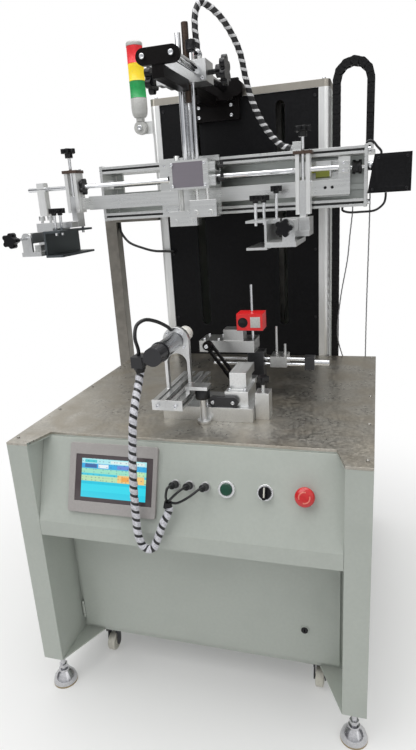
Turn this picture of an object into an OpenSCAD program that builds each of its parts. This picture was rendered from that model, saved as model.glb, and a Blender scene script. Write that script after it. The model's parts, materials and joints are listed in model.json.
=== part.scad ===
// Screen printer for round ware: cabinet, column, lifting beam, screen carriage, print head and spindle jig.
// Working frame: X to the right from the cabinet's middle, Y to the back from its front, Z up from the floor.

/* [Cabinet] */
// Width across the side panels
cabinet_w = 800; // [780:5:820]
// Depth of the table plate
table_d = 780; // [770:5:790]
// Height of the table's top face
table_h = 704; // [700:1:708]
// Thickness of the table plate
table_t = 6; // [4:1:8]
// Thickness of the folded sheet metal
sheet_t = 3; // [2:0.5:4]
// Height of the cabinet's underside
under_h = 101; // [100:1:106]
// Depth of the lower bay behind the table
bay_d = 240; // [230:5:260]
// Height of the deck over that bay
deck_h = 600; // [590:5:610]

/* [Control panel] */
// Height where the sloped face ends at its foot
slope_foot_h = 509; // [500:1:515]
// Height of the underside of the upright fascia
fascia_h = 471; // [465:1:475]
// How far the sloped face leans back
slope_d = 72; // [68:1:76]
// Width of each cheek beside the panel
cheek_w = 53; // [50:1:56]
// Depth of the recess below the panel
recess_d = 126; // [120:1:130]

/* [Column] */
// X of the column's middle
column_x = -16; // [-20:1:-12]
// Width of the column
column_w = 544; // [540:2:548]
// Y of the column's front face
column_y = 780.3; // [780.3:0.1:780.7]
// Depth of the column
column_d = 236; // [230:0.5:236]
// Height of the column's top
column_h = 1507; // [1500:1:1515]
// Side of the corner posts
post_w = 32; // [30:1:36]
// X from the middle to each slot
slot_x = 130; // [125:1:135]
// Width of each slot
slot_w = 26; // [24:1:30]

/* [Beam] */
// Left end of the beam
beam_x0 = -382; // [-390:1:-375]
// Right end of the beam
beam_x1 = 357; // [355:1:357]
// Y of the beam's front face
beam_y = 600; // [600:1:602]
// Depth of the beam's rails
beam_d = 100; // [96:2:104]
// Underside of the beam
beam_z0 = 1162; // [1158:1:1164]
// Top of the beam
beam_z1 = 1312; // [1310:1:1316]
// Height of each T-slot rail
rail_h = 20; // [20:1:22]

/* [Carriage and arms] */
// Y of the round arm shaft
shaft_y = 565; // [564:1:566]
// Z of the round arm shaft
shaft_z = 1261; // [1260:1:1262]
// Diameter of the round arm shaft
shaft_d = 12; // [10:1:12]
// X of the left arm
left_arm_x = -453.5; // [-460:0.5:-450]
// X of the right arm
right_arm_x = 207; // [206:0.5:208]
// Height of the clamp channels
channel_h = 72; // [68:1:72]
// Length of the clamp channels
channel_l = 190; // [180:5:200]

/* [Print head] */
// Top of the head block
head_top = 1303; // [1300:1:1304]
// Underside of the head block
head_foot = 1231; // [1230:1:1234]

/* [Overhead arm] */
// Z of the two round bars
bar_z = 1507; // [1505:1:1508]
// X of the left bar
bar_x0 = -108; // [-110:1:-107]
// X of the right bar
bar_x1 = -41; // [-42:1:-39]
// Diameter of the bars
bar_d = 20; // [18:1:20]

/* [Jig] */
// X of the spindle axis
spindle_x = -44; // [-46:1:-42]
// Z of the spindle axis
spindle_z = 897; // [890:1:905]
// Height of the rail's underside
jig_rail_z = 760; // [758:1:762]
// Length of the rail
jig_rail_l = 227; // [220:1:235]

/* [Drag chain] */
// Pitch of the links
link_p = 25.5; // [25:0.1:25.5]
// Height of a link in the bending plane
link_h = 25; // [23:1:26]
// Width of a link across the chain
link_w = 35; // [33:1:38]
// X of the fixed run
chain_x0 = 273.5; // [273:0.5:275]
// X of the moving run
chain_x1 = 366.5; // [365:0.5:368]
// Height where the bend starts
chain_bend_z = 1499; // [1498:1:1500]

/* [Hidden] */

$fn = 48;
fit = 0.05; // radial clearance of a running fit
half_w = cabinet_w / 2;
back_y = table_d + bay_d;
slope_h = table_h - slope_foot_h;
slope_a = atan(slope_d / slope_h);
steel = [0.62, 0.63, 0.64];
chrome = [0.82, 0.83, 0.85];
paint = [0.66, 0.71, 0.68];
black = [0.08, 0.08, 0.09];
alloy = [0.78, 0.79, 0.78];
arm_shaft_x0 = -612; // left end of the arm shaft
cover_x1 = 473; // right end of the drive cover
// Middle of the overall box, which becomes the origin
middle = [(arm_shaft_x0 + cover_x1) / 2, back_y / 2];

// Moves the working frame's origin to the middle of the footprint
module place() translate([-middle.x, -middle.y, 0]) children();

// Box between two opposite corners
module block(a, b) translate(a) cube(b - a);

// Round bars along each axis, from one end to the other
module bar_x(x0, x1, y, z, d) translate([x0, y, z]) rotate([0, 90, 0]) cylinder(d = d, h = x1 - x0);
module bar_y(x, y0, y1, z, d) translate([x, y0, z]) rotate([-90, 0, 0]) cylinder(d = d, h = y1 - y0);
module bar_z(x, y, z0, z1, d) translate([x, y, z0]) cylinder(d = d, h = z1 - z0);

// Extrudes an outline drawn in (x, z) from y0 to y1
module extrude_y(y0, y1) translate([0, y1, 0]) rotate([90, 0, 0]) linear_extrude(y1 - y0) children();

// Extrudes an outline drawn in (y, z) from x0 to x1
module extrude_x(x0, x1)
    translate([x0, 0, 0]) rotate([90, 0, 90]) linear_extrude(x1 - x0) children();

// Rectangle with round corners, from its low corner to its high corner
module round_rect(a, b, r) {
    translate([a.x + r, a.y]) square([b.x - a.x - 2 * r, b.y - a.y]);
    translate([a.x, a.y + r]) square([b.x - a.x, b.y - a.y - 2 * r]);
    for (x = [a.x + r, b.x - r], y = [a.y + r, b.y - r]) translate([x, y]) circle(r);
}

// Outline of a bar with round ends between two points
module capsule(a, b, r) {
    d = b - a;
    translate(a) rotate(atan2(d.y, d.x)) {
        translate([0, -r]) square([norm(d), 2 * r]);
        circle(r);
        translate([norm(d), 0]) circle(r);
    }
}

// Star grip: a disc with round lobes
module star(lobes, d) {
    circle(d * 0.36);
    for (i = [0 : lobes - 1]) rotate(i * 360 / lobes) translate([d * 0.34, 0]) circle(d * 0.16);
}

// Hand knob on a threaded stem, pointing up from the tip
module star_screw(lobes, knob_d, knob_h, hub_d, hub_h, stem_d, stem_l) {
    cylinder(d = stem_d, h = stem_l);
    translate([0, 0, stem_l]) cylinder(d = hub_d, h = hub_h);
    translate([0, 0, stem_l + hub_h]) linear_extrude(knob_h) star(lobes, knob_d);
}

// T-slot outline, its mouth centred at the origin and opening towards +X
module t_slot() {
    translate([-3, -3]) square([4, 6]);
    translate([-7, -5]) square([4.5, 10]);
}

// Places something on the sloped face: x across, v up the slope, its Z out of the face
module on_slope(x, v)
    translate([x, v * sin(slope_a), slope_foot_h + v * cos(slope_a)]) rotate([90 - slope_a, 0, 0]) children();

// Cabinet

table_outline = [
    [-half_w, 0], [-half_w + cheek_w, 0], [-half_w + cheek_w + 20, slope_d],
    [half_w - cheek_w - 20, slope_d], [half_w - cheek_w, 0], [half_w, 0], [half_w, table_d],
    [-half_w, table_d]];
side_outline = [
    [0, under_h], [back_y, under_h], [back_y, deck_h], [table_d, deck_h], [table_d, table_h - table_t],
    [0, table_h - table_t]];
inner_x = half_w - cheek_w;
door_open_w = 636;
door_open_z = [131, 446];
foot_xy = [[-373, 35], [373, 35], [-373, 985], [373, 985]];
caster_x = 285;
caster_y = [160, 960];
hinge_xy = [-341, 119];
hinge_z = [150, 400]; // foot of each barrel on the door
barrel_h = 30;
barrel_d = 8;
hinge_pin_d = 4;
deck_glands = [[310, 860], [368, 840]];
gland_h = 8;

// Pin of one door hinge with a knuckle and a tab on the front wall above and below the door's barrel
module hinge_pin(z) {
    knuckle_h = 10;
    bar_z(hinge_xy.x, hinge_xy.y, z - knuckle_h, z + barrel_h + knuckle_h, hinge_pin_d);
    for (foot = [z - knuckle_h - 0.3, z + barrel_h + 0.3]) {
        bar_z(hinge_xy.x, hinge_xy.y, foot, foot + knuckle_h, barrel_d);
        block([hinge_xy.x - 1.5, hinge_xy.y, foot], [hinge_xy.x + 1.5, recess_d + 1, foot + knuckle_h]);
    }
}

// One side: outer panel, front return and inner cheek
module cabinet_side() {
    extrude_x(half_w - sheet_t, half_w) polygon(side_outline);
    block([inner_x, 0, under_h], [half_w, sheet_t, table_h - table_t]);
    block([inner_x, 0, under_h], [inner_x + sheet_t, recess_d + sheet_t, table_h - table_t]);
    translate([0, 0, under_h]) linear_extrude(sheet_t)
        polygon([[inner_x, 0], [half_w, 0], [half_w, recess_d + 1], [inner_x - 60, recess_d + 1]]);
}

module cabinet_shell() color(paint) place() {
    cabinet_side();
    mirror([1, 0, 0]) cabinet_side();
    difference() {
        block([-inner_x - 1, recess_d, under_h], [inner_x + 1, recess_d + sheet_t, fascia_h]);
        block([-door_open_w / 2, recess_d - 1, door_open_z[0]],
            [door_open_w / 2, recess_d + sheet_t + 1, door_open_z[1]]);
    }
    block([-half_w, recess_d, under_h], [half_w, back_y, under_h + sheet_t]);
    block([-half_w, back_y - sheet_t, under_h], [half_w, back_y, deck_h]);
    block([-half_w, table_d - sheet_t, deck_h - sheet_t], [half_w, back_y, deck_h]);
    block([-half_w, table_d - sheet_t, deck_h - sheet_t], [half_w, table_d, table_h - table_t]);
    translate([0, 0, table_h - table_t - sheet_t]) linear_extrude(sheet_t) difference() {
        polygon(table_outline);
        translate([-half_w + 40, 110]) square([cabinet_w - 80, table_d - 145]);
    }
    for (z = hinge_z) hinge_pin(z);
    for (p = deck_glands) bar_z(p.x, p.y, deck_h - 1, deck_h + gland_h, 14);
}

panel_t = 2.5;
panel_top = table_h - table_t - sheet_t;

// Y of the sloped face at height z
function slope_y(z) = slope_d * (z - slope_foot_h) / slope_h;

// Folded control panel: top flange, slope, fascia and return, with its cut-outs
module control_panel() color(paint) place() difference() {
    extrude_x(-inner_x + 0.5, inner_x - 0.5) polygon([
        [98, panel_top], [slope_y(panel_top), panel_top], [0, slope_foot_h], [0, fascia_h],
        [recess_d + sheet_t, fascia_h], [recess_d + sheet_t, fascia_h + panel_t],
        [panel_t, fascia_h + panel_t], [panel_t, slope_foot_h - 0.5],
        [slope_y(panel_top - panel_t) + panel_t, panel_top - panel_t], [98, panel_top - panel_t]]);
    on_slope(-162, 110) translate([0, 0, -10]) linear_extrude(20) square([192, 122], center = true);
    for (x = switch_x) on_slope(x, 110) translate([0, 0, -10]) cylinder(r = 11, h = 20);
    for (x = socket_x) on_slope(x, 111) translate([0, 0, -10]) cylinder(r = 9, h = 20);
}

module table_plate() color(steel) place()
    translate([0, 0, table_h - table_t]) linear_extrude(table_t) polygon(table_outline);

// Levelling foot: rubber pad, chromed bell, nut and stem
module levelling_foot() {
    rotate_extrude()
        polygon([[0, 0], [31, 0], [31, 5], [30, 9], [27, 18], [20, 28], [13, 36], [13, 41], [0, 41]]);
    cylinder(d = 12, h = under_h);
    translate([0, 0, 46]) cylinder(d = 22, h = 9, $fn = 6);
    translate([0, 0, under_h - 10]) cylinder(d = 22, h = 10, $fn = 6);
}

// Caster fork over a wheel centred on the axle
module caster_fork() {
    translate([-35, -30, under_h - 4]) cube([70, 60, 4]);
    translate([0, 0, under_h - 14]) cylinder(d = 44, h = 10);
    for (s = [-1, 1]) translate([s * 14 - 1.5, 0, 0]) extrude_x(0, 3) {
        capsule([0, 35], [8, 78], 9);
        translate([-12, 72]) square([34, 16]);
    }
    translate([-15.5, -12, under_h - 17]) cube([31, 34, 4]);
    bar_x(-15.5, 15.5, 0, 35, 8);
}

module feet_and_casters() color(chrome) place() {
    for (p = foot_xy) translate(p) levelling_foot();
    for (x = [-caster_x, caster_x], y = caster_y) translate([x, y, 0]) caster_fork();
}

// Pair of caster wheels on one axle line
module wheel_pair(y) for (x = [-caster_x, caster_x]) translate([x, y, 35]) rotate([0, 90, 0])
    rotate_extrude() polygon([
        [4 + fit, -11], [9, -11], [9, -8], [16, -8], [18, -10], [23, -10], [25, -7], [25, 7], [23, 10],
        [18, 10], [16, 8], [9, 8], [9, 11], [4 + fit, 11]]);

module front_wheels() color([0.92, 0.92, 0.9]) place() wheel_pair(caster_y[0]);
module rear_wheels() color([0.92, 0.92, 0.9]) place() wheel_pair(caster_y[1]);

// Mounting tray with power supply, controller, drives, relays and terminals
module electrical_tray() color([0.75, 0.76, 0.74]) place() {
    block([-300, 900, 130], [300, 903, 560]);
    for (x = [-290, 280], z = [140, 540]) block([x, 903, z], [x + 10, back_y - sheet_t, z + 10]);
    for (z = [200, 330, 460]) block([-280, 893, z], [280, 901, z + 35]);
    for (x = [-270, -160]) block([x, 780, 430], [x + 90, 896, 530]);
    block([-40, 810, 425], [190, 896, 525]);
    for (x = [-270, -150, -30]) block([x, 730, 280], [x + 80, 896, 400]);
    for (i = [0 : 5]) block([90 + i * 28, 830, 310], [114 + i * 28, 896, 375]);
    for (i = [0 : 17]) block([-262 + i * 28, 850, 185], [-238 + i * 28, 896, 245]);
}

switch_x = [102, 185, 268];
socket_x = [-13, 19, 55];

// Ring and barrel of a panel switch, with its contact block behind the sheet
module switch_collar(r, h, bore) difference() {
    union() {
        cylinder(r = r, h = h);
        translate([0, 0, -8]) cylinder(r = 10.8, h = 9);
        translate([-15, -15, -50]) cube([30, 30, 42]);
    }
    translate([0, 0, -14]) cylinder(r = bore, h = 40);
}

// Operator screen housing: bezel with a recessed glass and the body behind it
module screen_housing() {
    difference() {
        linear_extrude(9) round_rect([-107, -78.5], [107, 78.5], 6);
        translate([3, 0, 7]) linear_extrude(3) square([189, 106], center = true);
    }
    translate([0, 0, -34]) linear_extrude(35) square([188, 118], center = true);
}

module panel_fittings() color([0.3, 0.31, 0.33]) place() {
    on_slope(-162, 110) screen_housing();
    on_slope(switch_x[0], 110) difference() {
        switch_collar(18, 6, 6 + fit);
        translate([0, 0, 2]) cylinder(r = 13.1, h = 10);
    }
    on_slope(switch_x[1], 110) switch_collar(17, 5, 6 + fit);
    on_slope(switch_x[2], 110) switch_collar(17, 5, 6 + fit);
    for (x = socket_x) on_slope(x, 111) {
        translate([0, 0, -12]) cylinder(r = 8.8, h = 13);
        difference() {
            cylinder(r = 11, h = 5);
            translate([0, 0, 3]) cylinder(r = 8, h = 3);
        }
    }
}

module start_button() color([0.1, 0.6, 0.25]) place() on_slope(switch_x[0], 110) {
    translate([0, 0, 5.2]) rotate_extrude() polygon([[0, 0], [13, 0], [13, 4], [11.5, 5.5], [0, 6]]);
    translate([0, 0, -10]) cylinder(r = 6, h = 16);
}

module selector_switch() color(black) place() on_slope(switch_x[1], 110) {
    translate([0, 0, 5.2]) cylinder(r = 13.5, h = 5);
    translate([0, 0, 10.2]) linear_extrude(9) round_rect([-4, -13.5], [4, 13.5], 3);
    translate([0, 0, -12]) cylinder(r = 6, h = 18);
}

module emergency_stop() color([0.85, 0.1, 0.08]) place() on_slope(switch_x[2], 110) {
    translate([0, 0, 11]) rotate_extrude()
        polygon([[0, 0], [16, 0], [20, 3], [20.5, 7], [19, 11], [14, 14], [7, 15.2], [0, 15.5]]);
    translate([0, 0, -6]) cylinder(r = 6, h = 18);
}

door_x = [-336, 335];
door_z = [119, 459];
lock_xz = [253, 209];

// Door leaf with folded edges, hinge barrels and the lock's bore
module front_door() color(paint) place() difference() {
    union() {
        difference() {
            block([door_x[0], recess_d - 9, door_z[0]], [door_x[1], recess_d - 1, door_z[1]]);
            block([door_x[0] + 2, recess_d - 7, door_z[0] - 1], [door_x[1] - 2, recess_d, door_z[1] + 1]);
        }
        for (z = hinge_z) {
            bar_z(hinge_xy.x, hinge_xy.y, z, z + barrel_h, barrel_d);
            block([hinge_xy.x, hinge_xy.y + 1, z], [door_x[0] + 2, hinge_xy.y + 3, z + barrel_h]);
        }
        bar_y(lock_xz.x, recess_d - 11, recess_d - 1, lock_xz.y, 22);
    }
    for (z = hinge_z) bar_z(hinge_xy.x, hinge_xy.y, z - 1, z + barrel_h + 1, hinge_pin_d + 2 * fit);
    bar_y(lock_xz.x, recess_d - 20, recess_d + 20, lock_xz.y, 16 + 2 * fit);
}

// Cam lock: plug with key slot and the cam behind the door
module door_lock() color(chrome) place() difference() {
    union() {
        bar_y(lock_xz.x, recess_d - 13, recess_d + 7, lock_xz.y, 16);
        extrude_y(recess_d + 6, recess_d + 9) capsule(lock_xz, lock_xz + [0, 72], 8);
    }
    block([lock_xz.x - 1, recess_d - 14, lock_xz.y - 4], [lock_xz.x + 1, recess_d - 8, lock_xz.y + 4]);
}

// Column

column_x0 = column_x - column_w / 2;
column_x1 = column_x + column_w / 2;
column_y1 = column_y + column_d;
cap_h = 20;
panel_x = [column_x0 + post_w, column_x1 - post_w];
post_top = column_h - cap_h;
groove_at = post_w / 2 + 2; // from the post's outer sides to the middle of each groove
lift_y = 905;
lift_rail_x = 80;

// Corner post with a rounded outer corner and grooves on its inner sides
module corner_post() difference() {
    union() {
        translate([post_w / 2, 0]) square([post_w / 2, post_w]);
        translate([0, post_w / 2]) square([post_w, post_w / 2]);
        translate([post_w / 2, post_w / 2]) circle(post_w / 2);
    }
    translate([post_w, groove_at]) t_slot();
    translate([groove_at, post_w]) rotate(90) t_slot();
    translate([post_w / 2, post_w / 2]) circle(4);
}

module column_frame() color(alloy) place() {
    for (sx = [0, 1], sy = [0, 1])
        translate([sx ? column_x1 : column_x0, sy ? column_y1 : column_y, deck_h])
            mirror([sx, 0, 0]) mirror([0, sy, 0]) {
                linear_extrude(post_top - deck_h) corner_post();
                translate([post_w - 1, 10, 0]) cube([50, 30, 6]);
            }
    translate([0, 0, post_top]) linear_extrude(cap_h) difference() {
        round_rect([column_x0, column_y], [column_x1, column_y1], post_w / 2);
        translate([column_x0 + 22, column_y + 22]) square([column_w - 44, column_d - 44]);
    }
    translate([0, 0, column_h - 3]) linear_extrude(3)
        round_rect([column_x0 + 2, column_y + 2], [column_x1 - 2, column_y1 - 2], post_w / 2);
    tower_bracket();
}

tower_xy = [-328, 798];
pivot_z = 1432;
bracket_r = 18;

// Bracket beside the left front post that the tower light pivots on
module tower_bracket() {
    extrude_y(806.3, 811) capsule([tower_xy.x, pivot_z], [column_x0 + 8, pivot_z], bracket_r);
    bar_y(tower_xy.x, 788, 807, pivot_z, 10);
    bar_y(tower_xy.x, 785, 788.7, pivot_z, 16);
}

module column_front() color(black) place() difference() {
    block([panel_x[0], column_y + 4, deck_h + 7], [panel_x[1], column_y + 7, post_top]);
    for (s = [-1, 1]) extrude_y(column_y, column_y + 10)
        capsule([column_x + s * slot_x, 818], [column_x + s * slot_x, 1452], slot_w / 2);
}

// Side and rear covers, with louvre slots in the rear one
module column_covers() color(paint) place() {
    for (x = [column_x0 + 14, column_x1 - 16])
        block([x, column_y + post_w, deck_h + 7], [x + 2, column_y1 - post_w, post_top]);
    difference() {
        block([panel_x[0], column_y1 - 8, deck_h + 7], [panel_x[1], column_y1 - 6, post_top]);
        for (i = [0 : 7]) extrude_y(column_y1 - 10, column_y1)
            capsule([column_x - 60, 720 + i * 18], [column_x + 60, 720 + i * 18], 4);
    }
}

// Lift frame: back plate, two guide rails, motor and top bearing
module lift_frame() color(steel) place() {
    block([column_x - 110, lift_y + 25, deck_h], [column_x + 110, lift_y + 33, post_top - 8]);
    for (s = [-1, 1]) block([column_x + s * lift_rail_x - 7.5, lift_y + 10, 700],
        [column_x + s * lift_rail_x + 7.5, lift_y + 25, 1470]);
    block([column_x - 30, lift_y - 30, deck_h], [column_x + 30, lift_y + 25, deck_h + 70]);
    difference() {
        block([column_x - 26, lift_y - 22, 1466], [column_x + 26, lift_y + 26, 1478]);
        bar_z(column_x, lift_y, 1460, 1480, 16 + 2 * fit);
    }
}

module lift_screw() color(chrome) place() {
    bar_z(column_x, lift_y, deck_h + 70.3, 1477, 16);
    bar_z(column_x, lift_y, deck_h + 70.3, deck_h + 105, 30);
}

// Square tube post at the left of the column, with its arm and cabinet bracket
module side_post() color([0.55, 0.55, 0.54]) place() {
    difference() {
        block([-478, 776, 560], [-438, 816, 1190]);
        block([-475, 779, 550], [-441, 813, 1187]);
    }
    difference() {
        block([-440, 776, 1150], [column_x0, 816, 1190]);
        block([-441, 779, 1153], [column_x0 + 1, 813, 1187]);
    }
    block([-441, 780, 562], [-half_w, 812, 572]);
    block([-half_w - 6, 780, 562], [-half_w, 812, 598]);
}

tower_d = 50;
lens_h = 48;
lens_z = 1516;

// Folding tower light body: pivot disc, stem, base, centre tube and cap
module tower_light() color([0.72, 0.73, 0.73]) place() difference() {
    union() {
        bar_y(tower_xy.x, 789, 806, pivot_z, 40);
        bar_z(tower_xy.x, tower_xy.y, pivot_z + 10, lens_z, 16);
        bar_z(tower_xy.x, tower_xy.y, pivot_z + bracket_r + 0.5, lens_z - 52, 26);
        translate([tower_xy.x, tower_xy.y, lens_z - 54]) rotate_extrude()
            polygon([[0, 0], [18, 0], [23, 8], [25, 24], [25, 53.8], [0, 53.8]]);
        bar_z(tower_xy.x, tower_xy.y, lens_z - 1, lens_z + 3 * lens_h + 1, 8);
        translate([tower_xy.x, tower_xy.y, lens_z + 3 * lens_h]) rotate_extrude()
            polygon([[0, 0], [25, 0], [25, 8], [22, 12], [0, 12]]);
    }
    bar_y(tower_xy.x, 780, 810, pivot_z, 10 + 2 * fit);
}

// Three ribbed lens sections, one above another
module tower_lenses() color([0.9, 0.3, 0.15]) place()
    for (i = [0 : 2]) translate([tower_xy.x, tower_xy.y, lens_z + i * lens_h]) difference() {
        union() {
            cylinder(d = tower_d - 1, h = lens_h - 0.3);
            for (z = [1, lens_h - 4]) translate([0, 0, z]) cylinder(d = tower_d, h = 3);
        }
        translate([0, 0, -1]) cylinder(d = 43, h = lens_h + 2);
    }

// Beam

screw_y = 640;
screw_z = 1262;
end_t = 8; // thickness of the beam's end plates
beam_window = [[-360, 1240], [-205, 1291]]; // cut-out of the back plate in (x, z)
hose_end = [168, 650, beam_z1 + 12]; // where the head hose meets its gland on the beam

// T-slot rail outline in (y, z) with slots in front, above and below
module beam_rail_outline() difference() {
    square([beam_d, rail_h]);
    translate([0, rail_h / 2]) rotate(180) t_slot();
    for (y = [30, 70]) {
        translate([y, rail_h]) rotate(90) t_slot();
        translate([y, 0]) rotate(-90) t_slot();
    }
}

// Lift bracket that passes through a column slot
module lift_bracket(x) block([x - 8, beam_y + beam_d - 1, 1180], [x + 8, lift_y - 24, 1295]);

// Runner on a lift rail, with the groove that the rail fills
module lift_runner(x, z) difference() {
    block([x - 22, lift_y - 16, z], [x + 22, lift_y + 22, z + 50]);
    block([x - 7.8, lift_y + 9.7, z - 1], [x + 7.8, lift_y + 23, z + 51]);
}

module beam_frame() color(alloy) place() {
    for (z = [beam_z0, beam_z1 - rail_h])
        translate([0, beam_y, z]) extrude_x(beam_x0, beam_x1) beam_rail_outline();
    difference() {
        block([beam_x0, 690, beam_z0 + 1], [beam_x1, 700, beam_z1 - 1]);
        block([beam_window[0].x, 689, beam_window[0].y], [beam_window[1].x, 701, beam_window[1].y]);
    }
    block([beam_x0, 678, 1205], [beam_x1, 691, 1220]);
    difference() {
        union() {
            for (x = [beam_x0 - end_t, beam_x1])
                block([x, beam_y - 2, beam_z0 - 2], [x + end_t, beam_y + beam_d + 2, beam_z1 + 2]);
            block([beam_x0 - 1, screw_y - 16, screw_z - 12], [beam_x0 + 20, screw_y + 52, screw_z + 12]);
        }
        bar_x(beam_x1 - 1, beam_x1 + end_t + 1, screw_y, screw_z, 24);
        bar_x(beam_x0 - end_t - 1, beam_x0 + 21, screw_y, screw_z, 16 + 2 * fit);
    }
    block([hose_end.x + 0.6, hose_end.y - 14, beam_z1 - 1], [hose_end.x + 28, hose_end.y + 14, beam_z1 + 25]);
    for (s = [-1, 1]) {
        lift_bracket(column_x + s * slot_x);
        for (z = [1175, 1250]) lift_runner(column_x + s * lift_rail_x, z);
    }
    block([column_x - slot_x - 14, lift_y - 25, 1170], [column_x + slot_x + 14, lift_y - 15, 1305]);
    difference() {
        block([column_x - 22, lift_y - 16, 1205], [column_x + 22, lift_y + 20, 1260]);
        bar_z(column_x, lift_y, 1200, 1270, 16 + 2 * fit);
    }
    block([beam_x1 + 7, beam_y + beam_d - 10, chain_end_z - 22],
        [chain_x1 + 16, chain_y + 17.5, chain_end_z - 14]);
    translate([chain_x1, chain_y, chain_end_z]) for (s = [0, 1]) mirror([0, s, 0])
        extrude_y(link_w / 2 - link_lug, link_w / 2) difference() {
            union() {
                circle(link_r);
                translate([-link_r, -15]) square([2 * link_r, 15]);
            }
            circle(3.4);
        }
}

motor_x = 392; // front face of the traverse motor
cover_z = [1193, 1288];
cover_outline = [[366, cover_z[0]], [cover_x1, cover_z[0]], [cover_x1, cover_z[1]], [382, cover_z[1]]];

// Folded drive cover with a slanted left edge, and the motor inside it
module drive_cover() color(black) place() {
    extrude_y(598, 690) difference() {
        polygon(cover_outline);
        polygon([[360, cover_z[0] + 2], [cover_x1 - 2, cover_z[0] + 2], [cover_x1 - 2, cover_z[1] - 2],
            [360, cover_z[1] - 2]]);
    }
    extrude_y(598, 600) polygon(cover_outline);
    difference() {
        block([motor_x, 619, 1241], [440, 661, 1283]);
        bar_x(motor_x - 1, motor_x + 8, screw_y, screw_z, 14 + 2 * fit);
    }
    block([439, 623, 1245], [cover_x1 - 1, 657, 1279]);
}

// Traverse screw, its coupling, the motor shaft and the collar outside the end plate
module traverse_screw() color(chrome) place() {
    bar_x(beam_x0 - 6, 327, screw_y, screw_z, 16);
    for (x = [326, 342]) bar_x(x, x + 8, screw_y, screw_z, 36);
    bar_x(330, 346, screw_y, screw_z, 30);
    bar_x(349, motor_x + 6, screw_y, screw_z, 14);
    bar_x(beam_x1 + end_t + 1, 378, screw_y, screw_z, 24);
}

// Drag chain

link_lug = 3;
link_r = link_h / 2 - 2;
chain_y = 797.5;
fixed_links = 34;
moving_links = 7;
loop_links = 6;
loop_r = (chain_x1 - chain_x0) / 2;
loop_pitch = 2 * loop_r * sin(90 / loop_links);
chain_foot_z = chain_bend_z - fixed_links * link_p;
chain_end_z = chain_bend_z - moving_links * link_p;

// Stepped section of one side of a link in (y, z): wide lug at the foot, narrow lug at the head
module link_step(p) {
    w = link_w / 2;
    foot_top = p - link_r - 0.5;
    head_foot_z = link_r + 0.4;
    translate([w - link_lug, -link_r]) square([link_lug, link_r + foot_top]);
    translate([w - 2 * link_lug - 0.3, head_foot_z]) square([link_lug, p + link_r - head_foot_z]);
    translate([w - link_lug - 0.5, head_foot_z]) square([1, foot_top - head_foot_z]);
}

// One chain link standing on its lower pivot, with pins on its upper pivot and two cross bars
module chain_link(p) {
    difference() {
        intersection() {
            extrude_x(-link_r, link_r) for (s = [0, 1]) mirror([s, 0]) link_step(p);
            extrude_y(-link_w / 2, link_w / 2) capsule([0, 0], [0, p], link_r);
        }
        bar_y(0, -link_w / 2 - 1, link_w / 2 + 1, 0, 6.8);
    }
    for (s = [0, 1]) mirror([0, s, 0]) bar_y(0, link_w / 2 - link_lug - 1, link_w / 2 - 0.5, p, 6);
    for (x = [-link_r, link_r - 2])
        translate([x, -link_w / 2 + link_lug + 0.5, 0.5 * p]) cube([2, link_w - 2 * link_lug - 1, 0.18 * p]);
}

// Foot bracket under the fixed run: base, two tongues and the first pins
module chain_anchor() {
    block([-12, -16, deck_h - chain_foot_z], [12, 16, deck_h - chain_foot_z + 6]);
    for (s = [0, 1]) mirror([0, s, 0]) {
        extrude_y(link_w / 2 - 2 * link_lug - 0.3, link_w / 2 - link_lug - 0.3)
            capsule([0, deck_h - chain_foot_z + 14], [0, 0], link_r);
        bar_y(0, link_w / 2 - link_lug - 1, link_w / 2 - 0.5, 0, 6);
    }
}

module chain_fixed() color(black) place() translate([chain_x0, chain_y, chain_foot_z]) {
    chain_anchor();
    for (i = [0 : fixed_links - 1]) translate([0, 0, i * link_p]) chain_link(link_p);
}

module chain_loop() color(black) place() translate([chain_x0 + loop_r, chain_y, chain_bend_z])
    for (i = [0 : loop_links - 1]) rotate([0, i * 180 / loop_links, 0])
        translate([-loop_r, 0, 0]) rotate([0, 90 / loop_links, 0]) chain_link(loop_pitch);

module chain_moving() color(black) place() translate([chain_x1, chain_y, chain_bend_z])
    for (i = [0 : moving_links - 1]) translate([0, 0, -i * link_p]) rotate([0, 180, 0]) chain_link(link_p);

// Carriage

screw_bore = 16 + 2 * fit;
shaft_bore = shaft_d + 2 * fit;
bar_y0 = 578;
bar_z0 = 1195;
arm_shaft_x1 = 318;

// Screen carriage: front bar, upright, shaft supports, bracket, rear plate, runners and nut housing
module carriage_bar() color(alloy) place() difference() {
    union() {
        block([-424, bar_y0, bar_z0], [323, bar_y0 + 10, bar_z0 + 38]);
        block([293, bar_y0, bar_z0], [323, bar_y0 + 10, 1287]);
        block([296, 553, shaft_z - 14], [320, bar_y0 + 10, shaft_z + 14]);
        block([-434.7, 553, bar_z0 + 2], [-423, bar_y0 + 10, bar_z0 + 34]);
        block([232, bar_y0 + 9, 1199], [318, 664, 1231]);
        block([180, 655, 1190], [318, 664, 1285]);
        for (x = [185, 272]) block([x, 663, 1190], [x + 40, 687, 1235]);
        block([232, screw_y - 20, screw_z - 20], [272, 656, screw_z + 20]);
    }
    block([179, 677.7, 1204.7], [319, 690, 1220.3]);
    bar_x(231, 273, screw_y, screw_z, screw_bore);
    bar_x(295, 321, shaft_y, shaft_z, shaft_bore);
    for (x = [260, 278]) bar_y(x, bar_y0 - 1, bar_y0 + 8, 1214, 8);
}

// Round shaft with a threaded hole at its left end and the star collar beside the left arm
module arm_shaft() color(chrome) place() difference() {
    union() {
        bar_x(arm_shaft_x0, arm_shaft_x1, shaft_y, shaft_z, shaft_d);
        extrude_x(-434, -424) translate([shaft_y, shaft_z]) star(5, 46);
    }
    bar_x(arm_shaft_x0 - 1, arm_shaft_x0 + 12, shaft_y, shaft_z, 5);
}

// Frame arms

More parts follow.
